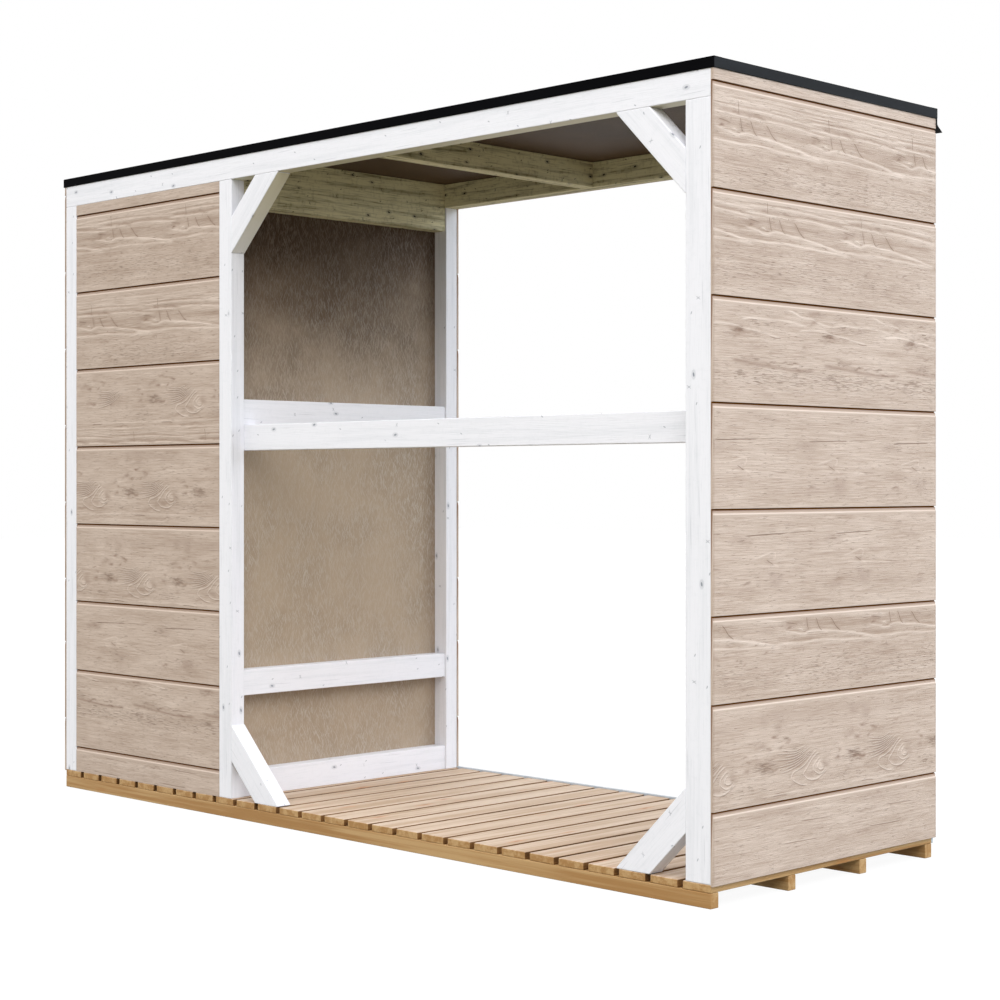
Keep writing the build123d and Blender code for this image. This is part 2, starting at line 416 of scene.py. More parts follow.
# %% [markdown]
# ## Posts, rails, rafters and bearers
# Every straight timber is one call: its box comes from the frame, the direction of its grain is that of
# its length, and its finish is white paint, the khaki copy that paints the shade up under the roof, or
# golden pine at the floor. The white-painted timbers are the ones that anyone standing in front of the store
# sees.

# %% Straight timbers
TIMBER_ARRIS = 0.0022
X, Y, Z = 0, 1, 2


def straight_timber(node, axis, finish, seed):
    """The node's box as an eased solid, with the grain along the axis."""
    room = spans(node)
    outline = rectangle(room[(axis + 1) % 3], room[(axis + 2) % 3])
    shape = eased_solid(outline, axis, room[axis], TIMBER_ARRIS)
    wood = grain(shape[0], np.eye(3)[axis], seed)
    mesh_piece(node + "_planed", node, shape, [finish], {"timber": wood})


posts = [f"{side}_{place}_post" for side in ("front", "rear") for place in ("left", "middle", "right")]
walls = ("partition", "right_end")
painted = {node: Z for node in posts}
painted.update({"front_header": X, "front_mid_rail": X})
painted.update({f"{wall}_{rail}": Y for wall in walls for rail in ("mid_rail", "lower_rail", "bottom_rail")})
# Rafters and top rails take the khaki copy: painted shade under the roof.
shaded_khaki = {f"rafter_{place}": Y for place in ("left", "partition", "middle", "right")}
shaded_khaki.update({f"{wall}_top_rail": Y for wall in walls})
shaded_khaki["rear_top_rail"] = X
bearers = {f"joist_{place}": X for place in ("front", "second", "third", "rear")}
for number, (node, axis) in enumerate(painted.items()):
    straight_timber(node, axis, white_paint, number + 1)
for number, (node, axis) in enumerate(shaded_khaki.items()):
    straight_timber(node, axis, khaki_shade_timber, number + 31)
for number, (node, axis) in enumerate(bearers.items()):
    straight_timber(node, axis, sawn_pine, number + 51)
straight_timber("deck_edge_strip", X, blue_grey_finish, 59)
print(len(painted), "painted timbers,", len(shaded_khaki), "bare ones and", len(bearers), "bearers")

# %% [markdown]
# ## Braces
# A brace is cut at 45 degrees to lie flat against the post and the level timber. Its outline is the four
# cornered shape seen from the front, carried from the front face to the back of the frame. Its grain runs
# along the slope, which is why the finish needs coordinates of its own.

# %% Braces
def brace(node, toward_x, toward_z, seed):
    """A brace whose square corner lies away from the bay; toward_x and toward_z point into the bay."""
    room = spans(node)
    corner_x = room[X][0] if toward_x > 0 else room[X][1]
    corner_z = room[Z][0] if toward_z > 0 else room[Z][1]
    outer = room[X][1] - room[X][0]
    width = spans("front_header")[Z]
    inner = outer - (width[1] - width[0]) * np.sqrt(2)
    corners = [(inner, 0.0), (outer, 0.0), (0.0, outer), (0.0, inner)]
    outline = [(corner_z + toward_z * z, corner_x + toward_x * x) for x, z in corners]
    if toward_x * toward_z > 0:
        outline = outline[::-1]
    shape = eased_solid(outline, Y, room[Y], TIMBER_ARRIS)
    wood = grain(shape[0], (toward_x, 0.0, -toward_z), seed)
    mesh_piece(node + "_planed", node, shape, [white_paint], {"timber": wood})


brace("brace_upper_left", 1, -1, 61)
brace("brace_upper_right", -1, -1, 62)
brace("brace_lower_left", 1, 1, 63)
brace("brace_lower_right", -1, 1, 64)
print("4 braces")

# %% [markdown]
# ## Deck boards
# The boards run from front to back with gaps between them. They are one mesh here: the first board is
# worked out once and repeated by adding each board's own place to a copy of its points. Only the faces that
# look up are bleached, and only those in the gaps are deep brown with some dirt and painted shade, so each
# mesh face picks its finish from the direction that it faces and from its place.

# %% Deck boards
BOARD_WIDTH = 0.095
BOARD_GAP = 0.016
BOARD_ARRIS = 0.003
GRAIN_SHIFT = (7.3, 1.9, 0.8)
ENDS, TOPS, GAPS = 0, 1, 2

deck = spans("deck_boards")
board_count = int((deck[X][1] - deck[X][0] + BOARD_GAP) / (BOARD_WIDTH + BOARD_GAP))
starts = np.linspace(deck[X][0], deck[X][1] - BOARD_WIDTH, board_count)
first_board = rectangle(deck[Z], (starts[0], starts[0] + BOARD_WIDTH))
points, quads, caps, flat = eased_solid(first_board, Y, deck[Y], BOARD_ARRIS)
shifts = np.zeros((board_count, 1, 3))
shifts[:, 0, X] = starts - starts[0]
jump = np.arange(board_count) * len(points)
shape = (
    (points[None] + shifts).reshape(-1, 3),
    (quads[None] + jump[:, None, None]).reshape(-1, 4),
    [cap + start for start in jump for cap in caps],
    np.tile(flat, board_count),
)
own_grain = np.arange(1, board_count + 1)[:, None, None] * GRAIN_SHIFT
wood = (grain(points, (0, 1, 0), 0)[None] + own_grain).reshape(-1, 3)
board_finishes = [sawn_pine, deck_top_finish, gap_shade_pine]
deck_piece = mesh_piece(
    "deck_boards_planed", "deck_boards", shape, board_finishes, {"timber": wood}
)
facing = np.empty(len(deck_piece.data.polygons) * 3, np.float32)
middle = np.empty_like(facing)
deck_piece.data.polygons.foreach_get("normal", facing)
deck_piece.data.polygons.foreach_get("center", middle)
facing, middle = facing.reshape(-1, 3), middle.reshape(-1, 3)
# Faces in the gaps get the deep brown finish, which paints their shade.
in_gap = (np.abs(facing[:, X]) > 0.6) & (np.abs(middle[:, X]) < deck[X][1] - 0.002)
chosen = np.where(facing[:, Z] > 0.4, TOPS, np.where(in_gap, GAPS, ENDS))
deck_piece.data.polygons.foreach_set("material_index", chosen.astype(np.int32))
print(board_count, "deck boards, gap", round((starts[1] - starts[0] - BOARD_WIDTH) * 1000, 1), "mm")

# %% [markdown]
# ## What the press leaves on a cladding board
# The walls are clad with pressed boards: a plate has stamped a wood grain into them. We describe that grain
# as strokes. A stroke is a bent line through a few places, and every point of a board knows its distance
# from it, positive below and negative above. From that distance come ridges with a sharp upper edge and a
# soft fall. Lines finer than the mesh come from it too: the finish draws them where the distance is zero.

# %% The press plate
def rounded(points):
    """A line through the places, with three more between neighbours on a smooth bend.

    The bend is a cubic. At each place its slope is half the way from the place before to the one after.
    """
    places = np.array(points, float)
    if len(places) == 2:
        return places
    ends = np.concatenate([2 * places[:1] - places[1:2], places, 2 * places[-1:] - places[-2:-1]])
    before, start, end, after = ends[:-3], ends[1:-2], ends[2:-1], ends[3:]
    share = np.arange(4)[:, None, None] / 4
    slope = (end - before) / 2
    next_slope = (after - start) / 2
    bent = (
        start + slope * share
        + (3 * (end - start) - 2 * slope - next_slope) * share**2
        + (2 * (start - end) + slope + next_slope) * share**3
    )
    return np.concatenate([bent.transpose(1, 0, 2).reshape(-1, 2), places[-1:]])


class Plate:
    """What is pressed into one board: heights in millimetres, stains, and distances from fine lines.

    Columns run along the board and rows down from its upper joint, both in millimetres. A stretch of grain
    is drawn about its own centre and may lie a little higher or lower than usual.
    """

    def __init__(self, columns, rows):
        self.columns, self.rows = columns, rows
        shape = (len(rows), len(columns))
        self.height, self.stain, self.pores = np.zeros(shape), np.zeros(shape), np.zeros(shape)
        self.distance = {"pale": np.full(shape, 0.45), "dark": np.full(shape, 0.45)}
        self.share = {"pale": np.zeros(shape), "dark": np.zeros(shape)}
        self.drawn = 0
        self.centre = self.drop = 0.0

    def move(self, centre, drop):
        """Draw what follows about another centre."""
        self.centre, self.drop = centre, drop

    def near(self, places, reach):
        """The part of the grid within reach of some places, and its coordinates about the centre."""
        low, high = places.min(axis=0) - reach, places.max(axis=0) + reach
        x, y = self.columns - self.centre, self.rows - self.drop
        part = np.ix_((y > low[1]) & (y < high[1]), (x > low[0]) & (x < high[0]))
        return part, *np.meshgrid(x[part[1][0]], y[part[0][:, 0]])

    def beside(self, points, reach, fade=22.0):
        """Distance from a stroke, positive below it, and a share that fades towards its ends."""
        line = rounded(points)
        part, x, y = self.near(line, reach)
        legs = np.diff(line, axis=0)
        lengths = np.linalg.norm(legs, axis=1)
        begun = np.concatenate([[0.0], np.cumsum(lengths)])
        nearest, side, way = np.full(x.shape, 1e9), np.zeros(x.shape), np.zeros(x.shape)
        for start, leg, length, done in zip(line, legs, lengths, begun):
            share = np.clip(((x - start[0]) * leg[0] + (y - start[1]) * leg[1]) / length**2, 0, 1)
            off_x, off_y = x - start[0] - share * leg[0], y - start[1] - share * leg[1]
            distance = np.hypot(off_x, off_y)
            closer = distance < nearest
            side = np.where(closer, np.copysign(distance, leg[0] * off_y - leg[1] * off_x), side)
            way = np.where(closer, done + share * length, way)
            nearest = np.minimum(nearest, distance)
        fade = min(fade, begun[-1] / 3)
        ends = np.clip(np.minimum(way, begun[-1] - way) / fade, 0, 1)
        return part, side, ends * ends * (3 - 2 * ends)

    def draw(self, tone, points, share=1.0, fade=22.0):
        """A fine pale or dark line along a stroke."""
        part, side, ends = self.beside(points, 12.0, fade)
        self.drawn += 1
        strength = share * ends * np.exp(-((side / 5.0) ** 2))
        stronger = strength > self.share[tone][part]
        value = self.drawn + np.clip(side / 50.0, -0.45, 0.45)
        self.distance[tone][part] = np.where(stronger, value, self.distance[tone][part])
        self.share[tone][part] = np.maximum(strength, self.share[tone][part])

    def ridge(self, points, width, height, line=0.7, fade=30.0):
        """A groove, a sharp rise at the stroke, a soft fall below it, and a pale line on top: a grain line
        that also paints the highlight on the crest.
        """
        part, side, ends = self.beside(points, max(width * 2.5, 12.0), fade)
        body = np.where(side < 0, np.exp(-((side / min(3.2, width)) ** 2)), np.exp(-((side / width) ** 2)))
        groove = 0.4 * np.exp(-(((side + 1.9 * min(3.2, width)) / 2.6) ** 2))
        self.height[part] += height * ends * (body - groove)
        if line:
            self.draw("pale", points, line * 0.45, fade)

    def hollow(self, points, width, depth, stain=0.0, fade=30.0):
        """A soft hollow along a stroke, with some stain in it."""
        part, side, ends = self.beside(points, width * 2.5, fade)
        body = ends * np.exp(-((side / width) ** 2))
        self.height[part] -= depth * body
        self.stain[part] += stain * body

    def patch(self, centre, size, height, stain, pores=0.0):
        """A ragged oval that is raised or sunk, stained, and more or less full of pores.

        Waves in x and y push its outline about: x + 5 sin(0.23 y + 0.9) + 3 sin(0.14 x), and so on.
        """
        part, x, y = self.near(np.array([centre], float), np.array(size) * 2.2 + 6.0)
        waved_x = x + 5.0 * np.sin(0.23 * y + 0.9) + 3.0 * np.sin(0.14 * x)
        waved_y = y + 2.4 * np.sin(0.13 * x) + np.sin(0.3 * x + 2.0)
        oval = np.exp(-(((waved_x - centre[0]) / size[0]) ** 2) - ((waved_y - centre[1]) / size[1]) ** 2)
        self.height[part] += height * oval
        self.stain[part] += stain * oval
        self.pores[part] += pores * oval


# %% [markdown]
# ## Stretches of grain
# The boards of the store are cut from a few stretches of one pattern. This one has strong ridges that part
# about a lens, with a knot and three slanting cracks. A scan would give every pore of it, but would need a
# picture, so the strokes are listed one by one. The numbers are places in millimetres, along the board and
# below its upper joint.

# %% Ridges about a lens
def ridged(plate):
    """Long ridges under the upper edge, then two that part and meet again, and cracks across them."""
    plate.ridge([(-200, -3), (-60, -2), (60, -3), (207, -5), (330, -3), (430, -2)], 4.0, 0.22, 0.5)
    plate.ridge([(-120, 10), (0, 9), (110, 8), (207, 3), (330, 8)], 3.5, 0.22, 0.5)
    plate.ridge([(-230, 20), (-60, 17), (60, 16), (207, 10), (330, 16), (430, 19)], 4.0, 0.20, 0.5)
    plate.ridge([(-70, 29), (0, 28), (80, 27), (180, 28), (300, 33), (420, 40)], 5.0, 0.30, 0.7)
    plate.ridge([(150, 17), (207, 19), (326, 28), (430, 34)], 3.5, 0.22, 0.5)
    plate.hollow([(-60, 22), (60, 21), (200, 23), (330, 30)], 2.5, 0.25, 0.15)
    plate.hollow([(-60, 38), (30, 38), (140, 40), (260, 42), (400, 50)], 4.5, 0.22, 0.2)
    plate.ridge([(-75, 47), (0, 47), (29, 48), (54, 49), (88, 49), (120, 51), (145, 53)], 4.0, 0.42, 1.0)
    plate.ridge(
        [(140, 52), (160, 48), (217, 47), (263, 50), (310, 53), (373, 58), (425, 61)], 9.0, 0.38, 0.8
    )
    plate.ridge(
        [(-75, 84), (-49, 88), (-30, 90), (-11, 93), (4, 97), (17, 99), (29, 99), (35, 97), (45, 94),
         (57, 91), (73, 90), (92, 91), (107, 93), (126, 95), (154, 96), (176, 97), (201, 100), (232, 104),
         (263, 107), (295, 111), (326, 116), (357, 121), (385, 125), (408, 129)], 7.0, 0.46, 0.8
    )
    plate.ridge([(110, 95), (154, 98), (201, 103), (263, 110), (326, 118), (360, 122)], 8.0, 0.20, 0.0)
    plate.ridge(
        [(-110, 121), (-49, 120), (0, 121), (29, 122), (50, 121), (76, 119), (107, 118), (138, 119),
         (170, 121), (200, 123), (232, 124), (295, 126), (340, 128), (408, 131)], 7.0, 0.40, 0.7
    )
    plate.hollow([(-60, 66), (30, 70), (150, 74), (260, 78), (400, 84)], 11.0, 0.25, 0.12)
    plate.hollow([(-110, 104), (-50, 108), (20, 111), (80, 108)], 5.0, 0.25, 0.15)
    plate.hollow([(180, 110), (260, 116), (330, 123)], 2.5, 0.15, 0.0)
    plate.patch((-38, 81), (11, 4), -0.2, 1.3)
    plate.patch((-45, 70), (35, 7), -0.1, 0.5, 0.3)
    plate.patch((17, 85), (10, 2.5), 0.5, 0.0)
    plate.draw("pale", [(2, 83), (14, 84), (27, 88)], 0.9, 6)
    plate.draw("dark", [(20, 91), (33, 92), (40, 90)], 0.6, 6)
    plate.draw("dark", [(-60, 64), (-30, 67), (0, 71)], 0.5, 10)
    plate.draw("dark", [(37, 51), (39, 62), (43, 78), (48, 90)], 0.8, 5)
    plate.hollow([(38, 55), (41, 68), (46, 88)], 5.0, 0.12, 0.35, 6)
    plate.hollow([(80, 58), (90, 73), (106, 92)], 5.0, 0.12, 0.35, 6)
    plate.hollow([(148, 60), (170, 80), (194, 96)], 5.0, 0.12, 0.3, 8)
    plate.draw("dark", [(77, 54), (84, 61), (90, 73), (99, 86), (112, 94)], 0.8, 6)
    plate.draw("dark", [(145, 57), (159, 67), (170, 80), (182, 89), (198, 98)], 0.8, 8)
    plate.draw("dark", [(26, 6), (29, 20), (30, 36), (31, 45)], 0.9, 4)
    plate.draw("dark", [(22, 134), (22, 148)], 0.6, 4)
    plate.draw("dark", [(121, 48), (123, 56)], 0.6, 3)
    plate.patch((16, 41), (13, 3), -0.1, 0.6, 0.3)
    plate.patch((70, 43), (6, 4), -0.1, 0.5)
    plate.patch((112, 41), (24, 4), -0.1, 0.55, 0.3)
    plate.patch((96, 143), (10, 2.5), -0.1, 0.6)
    plate.patch((126, 144), (10, 3.5), -0.1, 0.6)
    for place in ((204, 156), (211, 171), (248, 166), (131, 106), (178, 111), (293, 119), (340, 139)):
        plate.patch(place, (4, 1.8), -0.2, 1.0)
    plate.patch((10, 141), (12, 2.5), -0.1, 0.5)
    plate.patch((150, 200), (260, 36), 0.0, 0.0, 0.45)
    plate.patch((170, 140), (300, 160), -0.12, 0.0)


# %% [markdown]
# ### Arcs and sweeps
# This stretch has nested arcs like a fan of shells, with fine lines that sweep up to them. The sweeps lie
# between a highest and a lowest one, so they are mixed from the two in steps and shifted a little in turn.
# Some boards show the sweeps without the arcs, so they are a function of their own.

# %% Nested arcs
def sweeping(plate):
    """Fine lines that rise to the right, as in every copy of this stretch."""
    highest = np.array([(-60, 118), (-20, 124), (14, 126), (40, 121), (66, 110)], float)
    lowest = np.array([(-62, 182), (-10, 176), (30, 166), (74, 146), (112, 124)], float)
    for share in np.linspace(0, 1, 8):
        sweep = (1 - share) * highest + share * lowest
        sweep[0] += (18 * np.sin(25 * share), 1.5 * np.sin(9 * share))
        sweep[-1, 0] += 8 * np.sin(17 * share + 1.0)
        # Each pale line gets a dark one just below it: grain lines, which also paint a highlight on the
        # raised line and the shade under it.
        plate.draw("pale", sweep, 0.5, 36)
        plate.draw("dark", sweep + (0.0, 3.6), 0.45, 40)
    plate.patch((20, 150), (66, 22), -0.25, 0.45)
    plate.patch((35, 172), (40, 8), -0.15, 0.35)
    plate.ridge(
        [(-140, 162), (-120, 162), (-100, 170), (-80, 177), (-60, 174), (-52, 166)], 4.0, 0.25, 0.0, 8
    )
    plate.hollow([(-130, 165), (-100, 166), (-80, 171), (-60, 168)], 5.0, 0.2, 0.8, 10)
    plate.patch((-100, 112), (11, 5), -0.2, 1.0)
    plate.patch((-47, 113), (10, 4), -0.2, 0.9)
    plate.patch((-22, 92), (12, 4), -0.2, 1.0)
    plate.patch((-24, 101), (8, 3), -0.1, 0.7)
    plate.patch((-72, 84), (10, 4), -0.1, 0.7)
    plate.patch((-135, 103), (26, 8), -0.1, 0.7, 0.3)
    plate.patch((-90, 97), (22, 10), 0.2, -0.4)
    plate.patch((-60, 50), (24, 18), 0.0, 0.55)
    plate.patch((-125, 42), (20, 14), 0.0, 0.45)
    plate.patch((-90, 22), (110, 12), 0.0, 0.3)
    plate.patch((60, 38), (120, 14), 0.0, 0.25)
    plate.patch((92, 79), (16, 3), -0.1, 0.7, 0.3)
    plate.patch((328, 80), (14, 4), -0.1, 0.7, 0.3)
    plate.draw("dark", [(45, 52), (110, 51), (160, 53)], 0.35)
    plate.patch((215, 125), (16, 6), 0.3, -0.5)
    plate.patch((200, 126), (14, 3), -0.2, 0.8)
    plate.patch((221, 140), (9, 4), -0.3, 1.0)
    plate.patch((236, 151), (14, 5), 0.2, -0.4)
    plate.patch((212, 164), (9, 6), -0.2, 1.0)
    plate.patch((272, 152), (38, 6), -0.2, 0.35, 1.0)
    plate.patch((290, 166), (42, 14), -0.2, 0.2, 1.3)
    plate.patch((250, 186), (18, 7), 0.25, -0.4)
    plate.patch((322, 190), (34, 8), 0.2, -0.35)
    plate.draw("dark", [(252, 146), (290, 158), (330, 172)], 0.4)
    plate.patch((230, 212), (60, 12), 0.0, 0.1, 0.7)
    plate.ridge([(-150, 237), (-20, 238), (120, 239), (260, 237)], 3.0, 0.25, 0.5)
    plate.draw("dark", [(-90, 241), (-50, 241), (-20, 243)], 0.7, 12)
    plate.ridge([(20, 264), (60, 262), (120, 258)], 3.0, 0.22, 0.4)
    plate.patch((110, 249), (40, 3), -0.1, 0.5, 0.3)


def swirled(plate):
    """The sweeping lines, and three arcs that open to the right."""
    sweeping(plate)
    arcs = (
        [(70, 224), (53, 223), (37, 220), (23, 215), (10, 209), (0, 203), (-3, 197), (0, 190), (8, 183),
         (23, 180), (40, 175), (57, 168), (73, 157), (87, 147), (100, 138), (113, 134)],
        [(163, 188), (147, 197), (130, 205), (113, 212), (97, 213), (80, 211), (67, 207), (57, 200),
         (51, 193), (57, 185), (67, 177), (77, 167), (90, 155), (107, 145), (122, 139)],
        [(157, 181), (147, 192), (133, 198), (120, 199), (107, 193), (98, 187), (97, 180), (98, 173),
         (107, 165), (117, 158), (129, 151)],
        [(148, 180), (138, 187), (126, 188), (117, 182), (116, 174), (124, 166), (134, 162)],
    )
    for arc in arcs:
        plate.ridge(arc, 3.0, 0.30, 0.0, 12)
        # A pale line on each arc and a dark one just beside it: grain lines, which also paint a highlight
        # and the shade next to it.
        plate.draw("pale", arc, 0.65, 12)
        plate.draw("dark", np.array(arc) + (1.5, 4.0), 0.4, 16)
    plate.patch((85, 197), (26, 9), -0.25, 0.5)
    plate.patch((38, 200), (22, 12), -0.15, 0.3)
    plate.patch((150, 177), (14, 20), -0.15, 0.55)
    plate.patch((10, 219), (34, 5), -0.25, 0.5)
    plate.patch((110, 220), (34, 4), -0.2, 0.4)
    plate.patch((122, 178), (14, 9), 0.3, -0.3)


# %% [markdown]
# ### Quieter stretches
# One stretch has long pale lines that drift apart over a band of open pores, one is almost calm, and the
# narrow boards at the top and bottom of a wall are nearly plain. They are drawn with the same few strokes.

# %% Drifting lines, and the calm stretches
def drifting(plate):
    """Long pale lines that part and meet, dark pores under one, and a slow dark drift below."""
    plate.ridge(
        [(-144, 77), (-111, 72), (-77, 69), (-44, 69), (-11, 71), (18, 76), (45, 79), (71, 81), (101, 85),
         (135, 90), (168, 94), (192, 96)], 5.0, 0.38, 1.0
    )
    plate.ridge(
        [(12, 57), (28, 53), (51, 50), (85, 49), (151, 50), (185, 49), (218, 51), (251, 53), (285, 57),
         (315, 59)], 4.5, 0.34, 0.9
    )
    plate.ridge(
        [(205, 16), (235, 22), (268, 32), (285, 36), (318, 37), (338, 40), (351, 45), (371, 50), (401, 53),
         (430, 53)], 4.5, 0.34, 0.9
    )
    plate.draw("dark", [(140, 95), (165, 98), (192, 97)], 0.7, 10)
    plate.draw("dark", [(60, 55), (74, 54), (88, 53)], 0.8, 5)
    plate.patch((5, 81), (25, 8), -0.3, 1.1, 1.0)
    plate.patch((20, 86), (8, 4), -0.1, 0.8)
    plate.patch((-8, 97), (36, 4), -0.15, 0.7, 0.6)
    plate.patch((70, 87), (60, 4), -0.1, 0.4, 0.3)
    plate.patch((110, 62), (90, 8), -0.1, 0.25, 0.8)
    plate.patch((68, 32), (14, 2.5), -0.1, 0.9, 0.4)
    plate.patch((126, 36), (12, 2.5), -0.1, 0.7, 0.4)
    plate.patch((343, 24), (34, 9), -0.2, 0.6, 0.3)
    plate.patch((336, 47), (12, 6), -0.2, 0.8)
    plate.patch((375, 60), (34, 7), 0.25, -0.3)
    plate.patch((60, 22), (110, 10), 0.0, 0.2, 0.3)
    plate.patch((84, 122), (36, 3), -0.1, 0.6, 0.3)
    plate.patch((218, 133), (8, 3), -0.1, 0.9)
    plate.patch((295, 118), (6, 4), -0.1, 0.8)
    plate.hollow(
        [(-30, 160), (-12, 163), (51, 168), (118, 173), (185, 178), (235, 181), (285, 181), (350, 178)],
        4.5, 0.25, 0.75
    )
    plate.patch((70, 155), (36, 8), -0.1, 0.4, 1.0)
    plate.patch((143, 165), (30, 3), -0.15, 1.0, 0.6)
    plate.patch((240, 164), (50, 3), -0.1, 0.6, 0.9)
    plate.patch((262, 178), (16, 3), -0.1, 0.8)
    plate.patch((225, 142), (24, 14), 0.2, -0.4)
    plate.patch((120, 208), (230, 26), 0.0, 0.0, 0.75)
    plate.patch((15, 197), (22, 8), -0.1, 0.3, 1.0)
    plate.draw("dark", [(60, 217), (90, 219), (112, 222)], 0.6, 10)


def calm(plate):
    """Hardly any relief: a long level crack, a small swirl like a Y, and pale clouds."""
    plate.draw("dark", [(-130, 96), (-60, 94), (0, 92), (62, 91)], 0.9)
    plate.draw("dark", [(60, 91), (130, 89), (200, 88)], 0.4)
    plate.ridge([(-90, 157), (-50, 150), (-12, 142), (8, 144), (4, 156), (-4, 164)], 3.0, 0.25, 0.7, 12)
    plate.ridge([(2, 174), (12, 178), (26, 180)], 3.0, 0.25, 0.6, 6)
    plate.draw("dark", [(-34, 160), (-16, 168), (0, 175)], 0.6, 8)
    plate.patch((-14, 168), (16, 7), -0.1, 0.5, 0.2)
    plate.ridge([(-90, 172), (-40, 176), (40, 178), (150, 182)], 3.0, 0.18, 0.4)
    plate.ridge([(120, 138), (200, 142), (290, 143)], 3.0, 0.15, 0.4)
    plate.patch((298, 222), (17, 4), -0.1, 0.8, 0.4)
    plate.patch((290, 236), (40, 8), 0.0, 0.3, 0.3)
    plate.patch((260, 104), (40, 10), 0.0, 0.35, 0.3)
    plate.patch((-120, 110), (60, 12), 0.0, 0.3, 0.3)
    plate.patch((-40, 200), (90, 8), 0.0, 0.2, 0.3)
    plate.patch((100, 36), (60, 10), 0.0, 0.25, 0.3)
    plate.draw("dark", [(105, 176), (150, 179), (190, 181)], 0.4)
    plate.patch((420, 218), (40, 24), 0.0, 0.5, 0.2)
    plate.patch((380, 110), (50, 30), 0.1, -0.3)


def plain(plate):
    """A narrow board from a quiet part of the sheet: a few long lines and a stain."""
    plate.draw("dark", [(-60, 62), (0, 64), (90, 66)], 0.6)
    plate.draw("dark", [(-140, 115), (-60, 117), (30, 118)], 0.6)
    plate.ridge([(-160, 34), (0, 30), (160, 42), (260, 52)], 3.0, 0.15, 0.4)
    plate.ridge([(-200, 78), (-60, 72), (120, 84)], 3.0, 0.15, 0.3)
    plate.patch((-100, 30), (90, 10), 0.0, 0.4)
    plate.patch((240, 66), (60, 4), -0.1, 0.5, 0.3)
    plate.patch((250, 126), (10, 5), -0.1, 0.6)


# %% [markdown]
# ## The finish of the pressed boards
# The boards are stained a warm greige. What faces up on a ridge is painted paler and what faces down is
# painted darker, as painted light and shade, stains are redder, and the fine lines are drawn from their
# distances. Between them lie fibres: noises drawn out along the board, and each board of a wall reads them
# at another place. In the joints the brown core shows, and on the ledges below them it also paints shade.

# %% Cladding finish
BOARD_DARK = colour(156, 134, 117)
BOARD_PALE = colour(210, 193, 180)
BOARD_STAIN = colour(128, 101, 84)
BOARD_PORE = colour(112, 88, 70)
BOARD_LINE = colour(228, 215, 205)
BOARD_CRACK = colour(104, 74, 52)
BOARD_CORE = colour(103, 62, 22)
BOARD_SHINE = 0.3


def fine_line(finish, value, share, width):
    """1 where a value is a whole number, 0 from the width on, times how strong the line is."""
    fraction = finish.maths("FRACT", finish.maths("ADD", value, 0.5))
    apart = finish.maths("ABSOLUTE", finish.maths("SUBTRACT", fraction, 0.5))
    return finish.maths("MULTIPLY", finish.step(apart, width, width * 0.3), share)


def cladding_finish():
    """Colour from slope as painted light and shade, stain, fine lines and noise, all read from the
    attributes of the mesh.
    """
    finish = Finish("pressed_board", 0.5, BOARD_SHINE)
    place = finish.attribute("board")
    slope = finish.parts(place)[2]
    height, stain, core_and_shade = finish.parts(finish.attribute("pressed"))
    pale_value, dark_value, pores = finish.parts(finish.attribute("lines"))
    pale_share, dark_share, field = finish.parts(finish.attribute("shares"))

    clouds = finish.noise(finish.stretch(place, (3.5, 16.0, 0.0)), detail=3.0, roughness=0.6)
    bands = finish.noise(finish.stretch(place, (2.4, 95.0, 0.0)), detail=3.0, roughness=0.6, distortion=0.15)
    fibres = finish.noise(finish.stretch(place, (11.0, 430.0, 0.0)), detail=3.0, roughness=0.7)
    share = finish.maths("ADD", finish.maths("MULTIPLY", height, 0.55), 0.5)
    # Painted light and shade: the slope makes up-facing flanks of the relief paler and down-facing ones
    # darker.
    share = finish.plus(share, slope, 0.55)
    for noise, weight in ((clouds, 0.85), (bands, 0.65), (fibres, 1.65)):
        part = finish.maths("MULTIPLY", finish.maths("SUBTRACT", noise, 0.5), weight)
        share = finish.plus(share, part, field)
    base = finish.blend(share, BOARD_DARK, BOARD_PALE)
    # Painted highlight: where the share runs past 1, mostly on the shoulders, the colour goes towards near
    # white.
    base = finish.over(base, BOARD_LINE, finish.step(share, 1.0, 1.6), 0.9)

    uneven = finish.step(finish.maths("ADD", bands, fibres), 0.82, 1.18)
    uneven = finish.maths("ADD", finish.maths("MULTIPLY", uneven, 0.7), 0.15)
    base = finish.over(base, BOARD_STAIN, stain, uneven)
    dashes = finish.noise(finish.stretch(place, (30.0, 520.0, 0.0), (4.0, 9.0, 0.0)), detail=1.0)
    more = finish.plus(finish.maths("MULTIPLY", pores, 0.14), clouds, 0.08)
    dashes = finish.maths("MULTIPLY", finish.step(finish.maths("ADD", dashes, more), 0.68, 0.78), field)
    base = finish.over(base, BOARD_PORE, dashes, 0.55)

    pale_line = fine_line(finish, pale_value, pale_share, 0.038)
    dark_line = fine_line(finish, dark_value, dark_share, 0.036)
    base = finish.over(base, BOARD_LINE, pale_line, 0.5)
    base = finish.over(base, BOARD_CRACK, dark_line, 0.75)
    # The core colour fills the joints, and on the ledges it also paints the shade under the board above.
    base = finish.blend(core_and_shade, base, BOARD_CORE)
    shine = finish.maths("MULTIPLY", finish.maths("SUBTRACT", 1.0, core_and_shade), BOARD_SHINE)
    finish.fill(finish.shader.inputs["Specular IOR Level"], shine)

    rise = finish.plus(finish.maths("MULTIPLY", fibres, 0.9), pale_line, 0.3)
    rise = finish.maths("SUBTRACT", rise, finish.plus(dark_line, dashes, 0.5))
    rise = finish.plus(rise, bands, 0.4)
    return finish.done(base, finish.relief(rise, 0.0009))


pressed_board = cladding_finish()

# %% [markdown]
# ## The section of a board
# In section a board is flat at the back. Outside it starts in the slot under the board above, slopes out as
# a ledge, turns over a rounded shoulder that catches the light, runs down as the pressed face, and ends in a
# small arris and an undercut lip. We list that section as rows, sweep it along the wall as a grid, and let
# the pressed heights move the face in and out.

